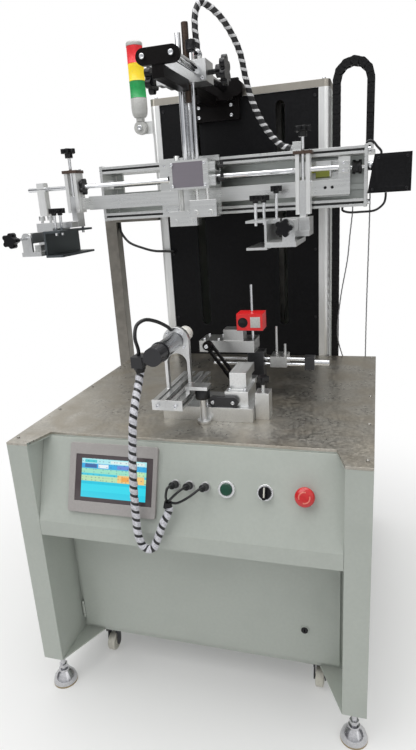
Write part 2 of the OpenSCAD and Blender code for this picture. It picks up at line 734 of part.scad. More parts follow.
arm_gap = 17; // between the two plates of an arm
arm_half_w = 18.5;
tongue_w = arm_gap - 0.6; // slides between the arm plates
height_y = 543.5;
height_d = 8;
thread_bore = height_d + 2 * fit;
arm_cap_z = 1298;
left_foot_z = 1190;
right_foot_z = 1151;

// Pair of arm plates with the shaft block between them and the cap on top
module arm_post(ax, foot_z) difference() {
    union() {
        for (x = [ax - arm_half_w, ax + arm_gap / 2])
            block([x, 535, foot_z], [x + arm_half_w - arm_gap / 2, 577.5, arm_cap_z]);
        block([ax - 18, height_y + 4.5, shaft_z - 18], [ax + 18, 577, shaft_z + 18]);
        translate([0, 0, arm_cap_z]) linear_extrude(8) round_rect([ax - 24, 532], [ax + 24, 577], 3);
    }
    bar_x(ax - 30, ax + 30, shaft_y, shaft_z, shaft_bore);
    bar_z(ax, height_y, arm_cap_z - 1, arm_cap_z + 9, thread_bore);
    for (x = [ax - 19, ax + 12.5]) bar_x(x, x + 6.5, 556, shaft_z - 30, 7);
}

// Outboard clamp at the left end of the shaft, split at the front
module shaft_clamp(x0, x1) difference() {
    block([x0, 553, shaft_z - 76], [x1, 577, shaft_z + 18]);
    bar_x(x0 - 1, x1 + 1, shaft_y, shaft_z, shaft_bore);
    block([x0 - 1, 552, shaft_z - 1], [x1 + 1, shaft_y, shaft_z + 1]);
}

module left_arm() color(alloy) place() {
    arm_post(left_arm_x, left_foot_z);
    shaft_clamp(-578, -554);
}

module right_arm() color(alloy) place() arm_post(right_arm_x, right_foot_z);

slide_z = 1129;
left_slide_x = -540;
right_slide_x = 188;
carrier_foot = 1098;
groove_w = 20;

// Bores and groove that every carrier has: height screw, slide screw and guide groove
module carrier_cuts(ax, slide_x, groove_x) {
    bar_z(ax, height_y, carrier_foot - 1, 1240, thread_bore);
    bar_y(slide_x, 499, 601, slide_z, thread_bore);
    block([groove_x - groove_w / 2, 499, carrier_foot - 1],
        [groove_x + groove_w / 2, 601, carrier_foot + 10]);
}

module left_carrier() color([0.6, 0.61, 0.6]) place() difference() {
    union() {
        block([left_arm_x - tongue_w / 2, 536, 1150], [left_arm_x + tongue_w / 2, 577, 1235]);
        block([-562, 500, 1150], [-446, 577, 1166]);
        block([-562, 500, carrier_foot], [-510, 600, 1151]);
        for (x = [-548, -520]) {
            bar_z(x, 512, 1165, 1174, 8);
            bar_z(x, 512, 1173, 1186, 18);
        }
    }
    carrier_cuts(left_arm_x, left_slide_x, -536);
}

module right_carrier() color([0.6, 0.61, 0.6]) place() difference() {
    union() {
        block([right_arm_x - tongue_w / 2, 536, 1120], [right_arm_x + tongue_w / 2, 577, 1235]);
        block([158, 500, carrier_foot], [227, 600, 1145]);
    }
    carrier_cuts(right_arm_x, right_slide_x, 178);
    block([202, 499, 1111], [228, 516, 1136]);
}

channel_z = [1145 - channel_h, 1145];
channel_y = 430;
lip_w = 53;
lip_t = 6;
foot_z = [1080, 1092];

// C channel that grips the screen frame, its web at x = 0 and its mouth towards -X, with foot plate,
// guide rib, front tab with the slide screw's housing, and the bores of its frame screws
module clamp_channel(plate_w, rib_x, slide_x, stems) difference() {
    union() {
        extrude_y(channel_y, channel_y + channel_l) polygon([
            [0, channel_z[0]], [0, channel_z[1]], [-lip_w, channel_z[1]], [-lip_w, channel_z[1] - lip_t],
            [-lip_t, channel_z[1] - lip_t], [-lip_t, channel_z[0] + lip_t], [-lip_w, channel_z[0] + lip_t],
            [-lip_w, channel_z[0]]]);
        block([-1, 405, foot_z[0]], [plate_w, 600, foot_z[1]]);
        block([rib_x - groove_w / 2 + 0.3, 450, foot_z[1] - 1],
            [rib_x + groove_w / 2 - 0.3, 600, carrier_foot + 9.7]);
        extrude_y(405, 413) {
            translate([slide_x - 15, foot_z[0]]) square([30, slide_z - foot_z[0]]);
            translate([slide_x, slide_z]) circle(15);
        }
        block([slide_x - 13, 412, slide_z - 14], [slide_x + 13, 486, slide_z + 14]);
        for (p = stems) if (p.x > 0) block([-1, p.y - 15, 1133], [p.x + 11, p.y + 15, channel_z[1]]);
    }
    bar_y(slide_x, 404, 487, slide_z, thread_bore);
    for (p = stems) bar_z(p.x, p.y, 1132, channel_z[1] + 1, thread_bore);
}

left_web_x = -500;
right_web_x = 130;
// Place and stem length of each frame screw
left_stems = [[-30, 450, 55], [-30, 482, 55], [-30, 606, 55]];
right_stems = [[-30, 450, 55], [-22, 520, 55], [11, 520, 76]];

module left_channel() color([0.7, 0.71, 0.7]) place() translate([left_web_x, 0, 0]) mirror([1, 0, 0])
    clamp_channel(60, 36, left_web_x - left_slide_x, left_stems);

module right_channel() color([0.7, 0.71, 0.7]) place() translate([right_web_x, 0, 0])
    clamp_channel(76, 48, right_slide_x - right_web_x, right_stems);

// Height screw from z0 up through the cap, with its star knob
module height_screw(ax, z0) translate([ax, height_y, z0])
    star_screw(5, 42, 13, 22, 12, height_d, 1339 - z0);

module left_height_screw() color(black) place() height_screw(left_arm_x, 1152);
module right_height_screw() color(black) place() height_screw(right_arm_x, 1110);

// Slide screw with its star knob at the front
module slide_screw(x)
    translate([x, 530, slide_z]) rotate([90, 0, 0]) star_screw(5, 42, 22, 20, 4, height_d, 180);

module left_slide_screw() color(black) place() slide_screw(left_slide_x);
module right_slide_screw() color(black) place() slide_screw(right_slide_x);

// Frame screws that press on the screen frame from above
module frame_screws(stems)
    for (p = stems) translate([p.x, p.y, 1131]) star_screw(5, 31, 14, 14, 5, height_d, p.z);

module left_frame_screws() color(black) place() translate([left_web_x, 0, 0]) mirror([1, 0, 0])
    frame_screws(left_stems);
module right_frame_screws() color(black) place() translate([right_web_x, 0, 0]) frame_screws(right_stems);

// Print head

head_x = [-131, -25];
head_y = [475, 545];
squeegee_rods = [[-62, 488], [-34, 488]];
flood_rods = [[-118, 527, 12], [-118, 509, 6]];

// Cylinder block with side ports, bridge over the shaft and mount plate behind it
module print_head() color(alloy) place() difference() {
    union() {
        block([head_x[0], head_y[0], head_foot], [head_x[1], head_y[1], head_top]);
        for (z = [head_foot + 6, head_foot + 42]) block([head_x[1] - 1, 482, z], [-8, 538, z + 22]);
        block([head_x[0], head_y[1] - 1, head_top - 13], [head_x[1], 591, head_top]);
        block([-200, 590, 1163], [head_x[1], 597, 1318]);
        for (z = [1252, 1284]) {
            bar_x(-9, 6, 510, z, 12);
            bar_z(2, 510, z, z + 14, 9);
        }
        for (y = [500, 524]) bar_x(head_x[0] - 12, head_x[0] + 1, y, 1262, 12);
        bar_z(-112, 490, head_top - 1, head_top + 12, 14);
    }
    for (p = squeegee_rods) bar_z(p.x, p.y, head_foot - 1, 1290, 10 + 2 * fit);
    for (p = flood_rods) bar_z(p.x, p.y, head_foot - 1, 1290, p.z + 2 * fit);
    for (x = [-185, -150], z = [1180, 1300]) bar_y(x, 589, 598, z, 7);
}

rod_a = [-89, 494];
rod_b = [-89, 522];
rod_c = [-73, 506];
rod_d = [-57, 492];
rod_d_d = 9;

// Guide rods above the head, the threaded rod, and the stop rod with its knurled collar
module guide_rods() color(chrome) place() {
    bar_z(rod_a.x, rod_a.y, head_top, 1596, 14);
    bar_z(rod_b.x, rod_b.y, head_top, 1550, 12);
    bar_z(rod_c.x, rod_c.y, head_top, 1441, 10);
    bar_z(rod_c.x, rod_c.y, 1440, 1620, 18);
    bar_z(rod_d.x, rod_d.y, head_top, 1579, rod_d_d);
    bar_z(rod_d.x, rod_d.y, 1551, 1554, 20);
    bar_z(rod_d.x, rod_d.y, 1554, 1576, 24);
}

// Squeegee holder: clamp bar with blade slot, and its two piston rods
module squeegee_holder() color(alloy) place() difference() {
    union() {
        block([-74, 457, 1160], [-3, 497, 1203]);
        for (p = squeegee_rods) bar_z(p.x, p.y, 1202, 1285, 10);
        for (x = [-58, -19]) bar_y(x, 450, 458, 1172, 12);
    }
    block([-75, 466, 1159], [-2, 474, 1188]);
}

// Flood bar holder with its piston rod and guide pin
module flood_holder() color(alloy) place() difference() {
    union() {
        block([-147, 500, 1138], [-70, 542, 1177]);
        for (p = flood_rods) bar_z(p.x, p.y, 1176, 1285, p.z);
        for (x = [-130, -88]) bar_y(x, 497.5, 501, 1150, 12);
    }
    block([-148, 508, 1137], [-69, 515, 1164]);
}

// Overhead arm

link_y = [297, 310];
link_plate_r = 17.5;

module arm_bars() color(chrome) place() for (x = [bar_x0, bar_x1]) bar_y(x, link_y[1], 740, bar_z, bar_d);

// Front link plate, channels under the bars, and the bracket on the column
module arm_brackets() color([0.35, 0.35, 0.36]) place() {
    extrude_y(link_y[0], link_y[1]) capsule([bar_x0, bar_z], [bar_x1, bar_z], link_plate_r);
    block([-90, link_y[0] + 3, 1462], [-62, link_y[1], 1500]);
    for (y = [[link_y[1] - 1, 478], [545, 741]]) difference() {
        block([-90, y[0], 1462], [-62, y[1], 1487]);
        block([-87, y[0] - 1, 1465], [-65, y[1] + 1, 1488]);
    }
    block([-135, 740, 1475], [-14, 766, 1530]);
    block([-135, 765, 1425], [-3, column_y, 1535]);
    bar_y(-8, 740, column_y, 1505, 44);
}

knob_y = 505;
knob_z = 1503;
knob_stem = 12;
hose_gland = [-52, 532];

// Hanger block that the head's rods slide in, with its ear and the hose gland
module hanger_block() color(alloy) place() difference() {
    union() {
        block([-132, 478, 1480], [-17, 545, 1530]);
        block([-150, 485, 1484], [-131, 525, 1522]);
        bar_z(hose_gland.x, hose_gland.y, 1529, 1549, 22);
    }
    for (x = [bar_x0, bar_x1]) bar_y(x, 477, 546, bar_z, bar_d + 2 * fit);
    for (p = [[rod_a, 14], [rod_b, 12], [rod_c, 18], [rod_d, rod_d_d]])
        bar_z(p[0].x, p[0].y, 1479, 1531, p[1] + 2 * fit);
    bar_x(-151, -139, knob_y, knob_z, knob_stem + 2 * fit);
    bar_x(-28, -16, knob_y, knob_z, knob_stem + 2 * fit);
}

// Two large star knobs that clamp the hanger, left and right
module hanger_knobs() color(black) place() {
    translate([-139.5, knob_y, knob_z]) rotate([0, -90, 0]) star_screw(6, 70, 15, 30, 11, knob_stem, 12);
    translate([-27.5, knob_y, knob_z]) rotate([0, 90, 0]) star_screw(6, 70, 13, 30, 15, knob_stem, 30);
}

// Jig

jig_pivot = [262, 750];
rail_x = [-80, -8];
rail_y = [335 - jig_rail_l, 335];
jig_rail_t = 20;
swing_pivot = [57, 780];
swing_tip = [1, 860];

// Base block, pivot uprights and pin, stepped blocks, hand screw, jack and swing pivot
module jig_base() color(alloy) place() {
    block([-88, 188, table_h], [131, 300, 738]);
    for (x = [-88, -6]) block([x, 250, 737], [x + 6, 274, 758]);
    bar_x(-88, 0, jig_pivot.x, jig_pivot.y, 8);
    block([62, 205, 737], [118, 295, 772]);
    block([70, 225, 771], [110, 290, 812]);
    block([70, 289, 790], [110, 320, 812]);
    block([70, 290, 765], [118, 322, 778]);
    block([47, 306, 771], [71, 322, 791]);
    bar_y(swing_pivot.x, 295, 307, swing_pivot.y, 10);
    block([132, 212, table_h], [165, 252, 768]);
    translate([148, 232, 766]) star_screw(5, 30, 14, 14, 6, 8, 18);
    translate([17, 178, table_h]) {
        cylinder(r = 16, h = 8);
        cylinder(r = 7, h = 60);
        translate([0, 0, 60]) cylinder(r = 17, h = 22);
    }
}

arch_r = 31;

// Outline of the motor bracket in (x, z): legs with an arch around the motor
module motor_arch() difference() {
    union() {
        translate([spindle_x - arch_r, jig_rail_z + jig_rail_t - 1])
            square([2 * arch_r, spindle_z - jig_rail_z - jig_rail_t + 1]);
        translate([spindle_x, spindle_z]) circle(arch_r);
    }
    translate([spindle_x, spindle_z]) circle(19.1);
    translate([spindle_x - 24, jig_rail_z]) square([48, spindle_z - jig_rail_z - 54]);
    translate([spindle_x, spindle_z - 54]) circle(24);
}

// Tilting rail of two T-slot profiles, with caps, pivot block, lug and motor bracket
module jig_rail() color(alloy) place() difference() {
    union() {
        for (x = [rail_x[0], rail_x[1] - 30]) translate([x, 0, jig_rail_z]) extrude_y(rail_y[0], rail_y[1])
            difference() {
                square([30, jig_rail_t]);
                translate([15, jig_rail_t]) rotate(90) t_slot();
                translate([30, jig_rail_t / 2]) t_slot();
                translate([0, jig_rail_t / 2]) rotate(180) t_slot();
            }
        block([rail_x[0], rail_y[0] - 4, jig_rail_z - 2],
            [rail_x[1], rail_y[0] + 0.5, jig_rail_z + jig_rail_t + 2]);
        block([rail_x[0], 252, 742], [rail_x[1], 272, jig_rail_z + 1]);
        block([rail_x[1] - 2, 160, 788], [34, 196, 796]);
        block([rail_x[1] - 10, 160, jig_rail_z + jig_rail_t - 1], [rail_x[1], 196, 796]);
        extrude_y(190, 204) motor_arch();
    }
    bar_x(rail_x[0] - 1, rail_x[1] + 1, jig_pivot.x, jig_pivot.y, 8 + 2 * fit);
}

// Spindle motor: flanged body, black tail cap and the cable elbow
module spindle_motor() color([0.6, 0.61, 0.62]) place() {
    bar_y(spindle_x, 95, 204, spindle_z, 38);
    bar_y(spindle_x, 45, 96, spindle_z, 40);
    bar_y(spindle_x, 88, 92, spindle_z, 44);
    block([-100, 60, 868], [-75, 95, 892]);
    block([-76, 62, 880], [-55, 93, 892]);
}

// Spindle shaft with its chuck, open to the back
module spindle() color([0.9, 0.89, 0.84]) place() difference() {
    union() {
        bar_y(spindle_x, 204.3, 237, spindle_z, 16);
        bar_y(spindle_x, 214, 222, spindle_z, 26);
        bar_y(spindle_x, 236, 266, spindle_z, 36);
    }
    bar_y(spindle_x, 246, 267, spindle_z, 16);
    for (a = [0 : 120 : 240]) translate([spindle_x, 251, spindle_z]) rotate([0, a + 90, 0])
        translate([0, 0, 10]) cylinder(d = 5, h = 10);
}

// Slotted swing arm with the roller that supports the ware
module swing_arm() color(black) place() {
    u = (swing_tip - swing_pivot) / norm(swing_tip - swing_pivot);
    extrude_y(296, 304) difference() {
        capsule(swing_pivot, swing_tip, 10);
        translate(swing_pivot) circle(d = 10 + 2 * fit);
        capsule(swing_pivot + 18 * u, swing_tip - 22 * u, 3.5);
    }
    bar_y(swing_tip.x, 284, 297, swing_tip.y, 22);
    bar_y(swing_tip.x, 303, 309, swing_tip.y, 14);
}

// Rear stand: block, twin rods, end block, plate, upper block, sensor head and upright rods; and the clamp
// link in front of the base's stepped blocks
module jig_stand() color([0.3, 0.3, 0.31]) place() {
    extrude_y(194, 205) capsule([36, 750], [84, 750], 12);
    block([84, 362, table_h], [126, 402, 826]);
    for (z = [790, 804]) bar_x(-10, 245, 382, z, 9);
    block([228, 368, 780], [252, 396, 812]);
    bar_x(251, 288, 382, 796, 14);
    block([-40, 355, 826], [104, 425, 856]);
    block([24, 360, 855], [76, 400, 884]);
    block([62, 352, 883], [128, 400, 926]);
    bar_z(95, 386, 855, 994, 6);
    block([140, 374, 783], [182, 428, 811]);
    bar_z(150, 420, 810, 880, 6);
    bar_z(172, 420, 810, 834, 6);
}

// Cords

// Route points, from where each cord leaves its gland
head_route = [
    [-52, 532, 1549.3], [-52, 532, 1572], [-54.5, 532, 1604], [-52, 535, 1645], [-41, 545, 1668],
    [-27, 560, 1664], [-2, 580, 1642], [21, 602, 1606], [38, 620, 1562], [48, 632, 1504], [64, 640, 1443],
    [93, 648, 1382], [122, 650, 1345], [142, 650, 1330], [157, 650, 1324.3], hose_end];
jig_route = [
    [-88, 77, 867.7], [-88, 77, 857], [-88, 66, 838], [-86, 40, 812], [-84, 10, 775], [-88, -10, 665],
    [-90, -15, 565], [-86, -20, 510], [-74, -20, 484], [-57, -20, 484], [-44, -16, 508], [-30, -10, 545],
    [-18, -2, 571], [-18, -2, 581.7]];
spindle_route = [
    [-88, 78, 892.3], [-88, 78, 905], [-92, 76, 930], [-92, 90, 954], [-82, 110, 962], [-68, 140, 953],
    [-53, 172, 933], [-50, 181, 925], [-50, 189.7, 923]];
side_route = [
    [-434, 796, 1149.7], [-434, 796, 1135], [-430, 792, 1118], [-403, 786, 1085], [-350, 778, 1064],
    [-305, 768, 1054], [-266, 766, 1052], [-246, 768, 1050.5], [-241, 776, 1050], [-240, 784, 1050]];
lead_routes = [
    [[-20, -2, 592], [-18, -12, 610], [-14, -11, 628], [-13, 0, 628], [-13, 12, 623]],
    [[-17, -2, 592], [-6, -16, 608], [12, -15, 626], [19, -2, 628], [19, 12, 623]],
    [[-15, -2, 592], [8, -16, 600], [36, -17, 618], [53, -5, 629], [55, 12, 623]]];
cord_foot_z = deck_h + gland_h + 0.3;
// Cables that leave the beam: two down to the rear deck, the motor's loop and the lead over the end plate
beam_routes = [
    [4, [[327, 700.3, 1190], [326.8, 708, 1189], [326, 716, 1180], [324, 722, 1140], [318, 728, 1080],
        [312, 732, 1013], [293, 736, 897], [284, 750, 780], [300, 800, 690], [310, 860, 640],
        [310, 860, cord_foot_z]]],
    [4, [[372, 670, 1192.7], [372, 670, 1180], [372, 684, 1130], [371, 700, 1040], [369, 735, 886],
        [368, 790, 720], [368, 840, 640], [368, 840, cord_foot_z]]],
    [6, [[412, 625, 1192.7], [412, 625, 1182], [408, 625, 1166], [388, 625, 1150], [350, 625, 1147],
        [316, 625, 1148], [302, 625, 1154], [302, 625, 1161.7]]],
    [6, [[361, 640, 1314.3], [361, 640, 1319], [366, 640, 1324], [376, 640, 1322], [388, 640, 1308],
        [398, 640, 1296], [398, 640, 1288.3]]]];

function unit(v) = v / norm(v);
function tangent(p, i) = unit(p[min(i + 1, len(p) - 1)] - p[max(i - 1, 0)]);

// Ring of n points of radius r around c, square to direction t
function ring(c, t, r, n) =
    let (u = unit(cross([0, 1, 0], t)), w = cross(t, u))
    [for (k = [0 : n - 1]) c + r * (cos(k * 360 / n) * u + sin(k * 360 / n) * w)];

// Tube of diameter d along the points p, with n sides
module tube(p, d, n = 10) {
    m = len(p);
    polyhedron(
        points = [for (i = [0 : m - 1]) each ring(p[i], tangent(p, i), d / 2, n)],
        faces = [
            [for (k = [0 : n - 1]) k],
            [for (k = [n - 1 : -1 : 0]) (m - 1) * n + k],
            for (i = [0 : m - 2], k = [0 : n - 1]) let (j = (k + 1) % n)
                [i * n + k, (i + 1) * n + k, (i + 1) * n + j, i * n + j]]);
}

module head_hose() color(black) place() tube(head_route, 17);
module jig_hose() color(black) place() tube(jig_route, 18);
module spindle_cable() color(black) place() tube(spindle_route, 8);
module beam_cable() color(black) place() for (r = beam_routes) tube(r[1], r[0], 8);

// Leads from the jig hose's boot to the panel sockets with their plugs, and the lead beside the column
module panel_leads() color(black) place() {
    for (r = lead_routes) tube(r, 5.5, 8);
    for (x = socket_x) on_slope(x, 111) translate([0, 0, 3]) cylinder(r = 7.8, h = 25);
    translate([-18, -2, 582]) cylinder(r = 8.5, h = 10);
    tube(side_route, 8, 8);
}

cabinet_shell();
control_panel();
table_plate();
feet_and_casters();
electrical_tray();
panel_fittings();
column_frame();
column_front();
column_covers();
lift_frame();
arm_bars();
arm_brackets();
hanger_block();
side_post();
chain_fixed();
jig_base();
jig_stand();
front_door();
door_lock();
start_button();
selector_switch();
emergency_stop();
front_wheels();
rear_wheels();
tower_light();
tower_lenses();
lift_screw();
beam_frame();
drive_cover();
chain_moving();
chain_loop();
carriage_bar();
arm_shaft();
traverse_screw();
left_arm();
left_carrier();
left_channel();
left_height_screw();
left_slide_screw();
left_frame_screws();
right_arm();
right_carrier();
right_channel();
right_height_screw();
right_slide_screw();
right_frame_screws();
print_head();
guide_rods();
squeegee_holder();
flood_holder();
hanger_knobs();
jig_rail();
spindle_motor();
spindle();
swing_arm();
head_hose();
jig_hose();
panel_leads();
spindle_cable();
beam_cable();
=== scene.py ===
"""Looks of a screen printer for round ware, built round its packed construction.

Lengths are metres. Places are given as on the construction drawing, from the middle of the cabinet's
front at floor level: at() takes them in millimetres, and route() takes a cord's points in metres.
"""
from __future__ import annotations

import json
import logging
import math
from collections.abc import Callable, Iterable, Iterator, Sequence
from contextlib import contextmanager
from dataclasses import dataclass, replace
from enum import Enum
from functools import cache

import bmesh
import bpy
from mathutils import Matrix, Vector

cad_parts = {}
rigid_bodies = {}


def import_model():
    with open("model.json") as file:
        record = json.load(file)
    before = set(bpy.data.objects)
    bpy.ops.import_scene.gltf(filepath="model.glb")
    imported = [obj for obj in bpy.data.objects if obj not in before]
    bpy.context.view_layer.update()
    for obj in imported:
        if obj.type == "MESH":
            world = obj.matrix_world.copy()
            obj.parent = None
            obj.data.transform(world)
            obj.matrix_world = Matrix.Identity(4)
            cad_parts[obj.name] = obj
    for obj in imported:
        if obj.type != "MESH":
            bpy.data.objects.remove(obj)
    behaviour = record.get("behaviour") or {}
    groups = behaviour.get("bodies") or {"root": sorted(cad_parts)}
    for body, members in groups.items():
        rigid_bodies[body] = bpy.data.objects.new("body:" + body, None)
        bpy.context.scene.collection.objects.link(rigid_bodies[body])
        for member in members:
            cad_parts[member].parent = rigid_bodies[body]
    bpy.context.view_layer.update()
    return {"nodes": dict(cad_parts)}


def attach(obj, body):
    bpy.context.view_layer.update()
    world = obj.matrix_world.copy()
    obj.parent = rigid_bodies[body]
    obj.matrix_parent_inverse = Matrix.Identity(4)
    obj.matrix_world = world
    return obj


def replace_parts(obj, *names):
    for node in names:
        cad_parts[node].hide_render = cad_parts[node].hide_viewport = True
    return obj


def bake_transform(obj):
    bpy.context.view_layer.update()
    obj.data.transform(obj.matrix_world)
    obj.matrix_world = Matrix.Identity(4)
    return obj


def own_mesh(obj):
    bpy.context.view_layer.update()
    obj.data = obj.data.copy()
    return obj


LOG = logging.getLogger("screen_printer")
MM = 0.001
DRAWING_MIDDLE = Vector((-0.0695, 0.510, 0.0))
PHOTO_SIZE = (416, 750)
MERGE_REACH = 0.00002
FLAT_ANGLE = 0.01
SHARP_ANGLE = 35.0

LEFT, RIGHT = Vector((-1, 0, 0)), Vector((1, 0, 0))
FRONT, BACK = Vector((0, -1, 0)), Vector((0, 1, 0))
UP = Vector((0, 0, 1))

Point = tuple[float, float, float]
Colour = tuple[float, float, float]
Route = Sequence[Point]
Seat = tuple[Vector, Vector]
FacePick = Callable[[Vector, Vector], bool]
Piece = bpy.types.Object
Material = bpy.types.Material
Node = bpy.types.Node
Socket = bpy.types.NodeSocket
Sockets = bpy.types.NodeOutputs
Tree = bpy.types.ShaderNodeTree


def at(x: float, y: float, z: float) -> Vector:
    """Turns millimetres of the construction drawing into a point of the frame."""
    return Vector((x, y, z)) * MM - DRAWING_MIDDLE


def route(points: Route) -> list[Vector]:
    """Turns a cord's route in metres of the construction drawing into points of the frame."""
    return [Vector(point) - DRAWING_MIDDLE for point in points]


def seats_at(out: Vector, xs: Sequence[float], ys: Sequence[float], zs: Sequence[float]) -> list[Seat]:
    """Returns a seat at every combination of the given places, all facing one way."""
    return [(at(x, y, z), out) for x in xs for y in ys for z in zs]


# Modelling by hand: primitives, edit-mode operators and applied modifiers

def clear_selection() -> None:
    """Leaves edit mode and deselects everything."""
    if bpy.context.mode != "OBJECT":
        bpy.ops.object.mode_set(mode="OBJECT")
    bpy.ops.object.select_all(action="DESELECT")


def activate(pieces: Sequence[Piece]) -> None:
    """Selects the pieces and makes the first one active.

    Args:
        pieces: The pieces to select.
    """
    clear_selection()
    for piece in pieces:
        piece.select_set(True)
    bpy.context.view_layer.objects.active = pieces[0]


def claim(name: str) -> Piece:
    """Names the object that an operator has just added and lays its place into its mesh.

    Args:
        name: The new name.

    Returns:
        The named piece.
    """
    piece = bpy.context.object
    piece.name = piece.data.name = name
    bpy.ops.object.transform_apply(location=True, rotation=True, scale=True)
    return piece


def add_object(name: str, data: bpy.types.ID) -> Piece:
    """Adds a mesh, lamp or camera to the scene.

    Args:
        name: The object's name.
        data: Its mesh, lamp or camera.

    Returns:
        The new object.
    """
    piece = bpy.data.objects.new(name, data)
    bpy.context.scene.collection.objects.link(piece)
    return piece


def add_bar(name: str, start: Vector, end: Vector, radius: float, sides: int = 32,
            end_radius: float | None = None) -> Piece:
    """Adds a round bar or a taper between two points.

    Args:
        name: The piece's name.
        start: Middle of the first end.
        end: Middle of the other end.
        radius: Radius at the first end.
        sides: Number of side faces.
        end_radius: Radius at the other end, where it differs.

    Returns:
        The new piece.
    """
    clear_selection()
    axis = end - start
    bpy.ops.mesh.primitive_cone_add(
        vertices=sides, radius1=radius, radius2=radius if end_radius is None else end_radius,
        depth=axis.length, location=(start + end) / 2, rotation=axis.to_track_quat("Z", "Y").to_euler())
    return claim(name)


def add_block(name: str, low: Vector, high: Vector) -> Piece:
    """Adds a block between two opposite corners.

    Args:
        name: The piece's name.
        low: Lowest corner.
        high: Highest corner.

    Returns:
        The new piece.
    """
    clear_selection()
    bpy.ops.mesh.primitive_cube_add(size=1, location=(low + high) / 2, scale=high - low)
    return claim(name)


@contextmanager
def editing(piece: Piece, select: str = "DESELECT") -> Iterator[None]:
    """Puts one piece into edit mode, and leaves edit mode at the end.

    Args:
        piece: The piece to edit.
        select: Whether everything is selected first, SELECT, or nothing, DESELECT.

    Returns:
        A context that lasts as long as the edit.
    """
    activate([piece])
    bpy.ops.object.mode_set(mode="EDIT")
    bpy.ops.mesh.select_mode(type="FACE")
    bpy.ops.mesh.select_all(action=select)
    yield
    bpy.ops.object.mode_set(mode="OBJECT")


def facing(out: Vector) -> FacePick:
    """Returns a test for the faces that look one way."""
    return lambda middle, normal: normal.dot(out) > 0.9


def upright(middle: Vector, normal: Vector) -> bool:
    """Tests whether a face stands upright."""
    return abs(normal.z) < 0.1


def pick_faces(piece: Piece, wanted: FacePick) -> None:
    """Selects the faces that pass a test, in edit mode.

    Args:
        piece: The piece that is being edited.
        wanted: Test on a face's middle and normal.
    """
    mesh = bmesh.from_edit_mesh(piece.data)
    bpy.ops.mesh.select_all(action="DESELECT")
    for face in mesh.faces:
        if wanted(face.calc_center_median(), face.normal):
            face.select_set(True)
    bmesh.update_edit_mesh(piece.data)


def recess(piece: Piece, wanted: FacePick, margin: float, depth: float, each: bool = False) -> None:
    """Insets the picked faces and sinks what is inside the new edge.

    Args:
        piece: The piece to cut.
        wanted: Test on a face's middle and normal.
        margin: Width of the rim that stays.
        depth: How deep the floor lies, negative for a raised floor.
        each: Whether every face gets a recess of its own.
    """
    with editing(piece):
        pick_faces(piece, wanted)
        bpy.ops.mesh.inset(thickness=margin, depth=0, use_individual=each)
        bpy.ops.mesh.inset(thickness=margin * 0.02, depth=-depth, use_individual=each)


def add_bevel(piece: Piece, width: float, segments: int, angle: float) -> bpy.types.BevelModifier:
    """Adds a Bevel modifier on a piece's sharp edges.

    Args:
        piece: The piece.
        width: Width of the rounding.
        segments: Number of faces across it.
        angle: Angle in degrees from which an edge counts as sharp.

    Returns:
        The modifier.
    """
    bevel = piece.modifiers.new("Edges", "BEVEL")
    bevel.width = width
    bevel.segments = segments
    bevel.limit_method = "ANGLE"
    bevel.angle_limit = math.radians(angle)
    return bevel


def round_edges(piece: Piece, width: float, segments: int = 2, angle: float = SHARP_ANGLE) -> None:
    """Rounds a piece's sharp edges, and smooths the shading between them.

    Args:
        piece: The piece to finish.
        width: Width of the rounding.
        segments: Number of faces across it.
        angle: Angle in degrees from which an edge counts as sharp.
    """
    activate([piece])
    bevel = add_bevel(piece, width, segments, angle)
    bevel.harden_normals = False
    bpy.ops.object.modifier_apply(modifier=bevel.name)
    bpy.ops.object.shade_smooth_by_angle(angle=math.radians(angle))


def join(name: str, pieces: Sequence[Piece]) -> Piece:
    """Joins pieces of one finish into one object.

    Args:
        name: Name of the joined piece.
        pieces: The pieces to join.

    Returns:
        The joined piece.
    """
    activate(pieces)
    if len(pieces) > 1:
        bpy.ops.object.join()
    pieces[0].name = pieces[0].data.name = name
    return pieces[0]


def copies(name: str, template: Piece, seats: Iterable[Seat]) -> Piece:
    """Copies a template that stands on the origin to each seat, and joins the copies.

    Args:
        name: Name of the joined piece.
        template: Piece modelled on the origin, with its head towards +Z. It is removed.
        seats: Pairs of a point on the surface and the direction out of it.

    Returns:
        The joined copies.
    """
    made = []
    for point, out in seats:
        mesh = template.data.copy()
        mesh.transform(Matrix.Translation(point) @ out.to_track_quat("Z", "Y").to_matrix().to_4x4())
        made.append(add_object(name, mesh))
    bpy.data.objects.remove(template)
    return join(name, made)


def settle(piece: Piece, body: str, material: Material) -> Piece:
    """Finishes a piece.

    Args:
        piece: The modelled piece.
        body: Body that it moves with, or nothing to leave it unattached.
        material: Its only material.

    Returns:
        The piece.
    """
    piece.data.materials.clear()
    piece.data.materials.append(material)
    if body:
        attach(piece, body)
    LOG.info("%s rides on %s with %d faces", piece.name, body or "two bodies", len(piece.data.polygons))
    return piece


# Materials

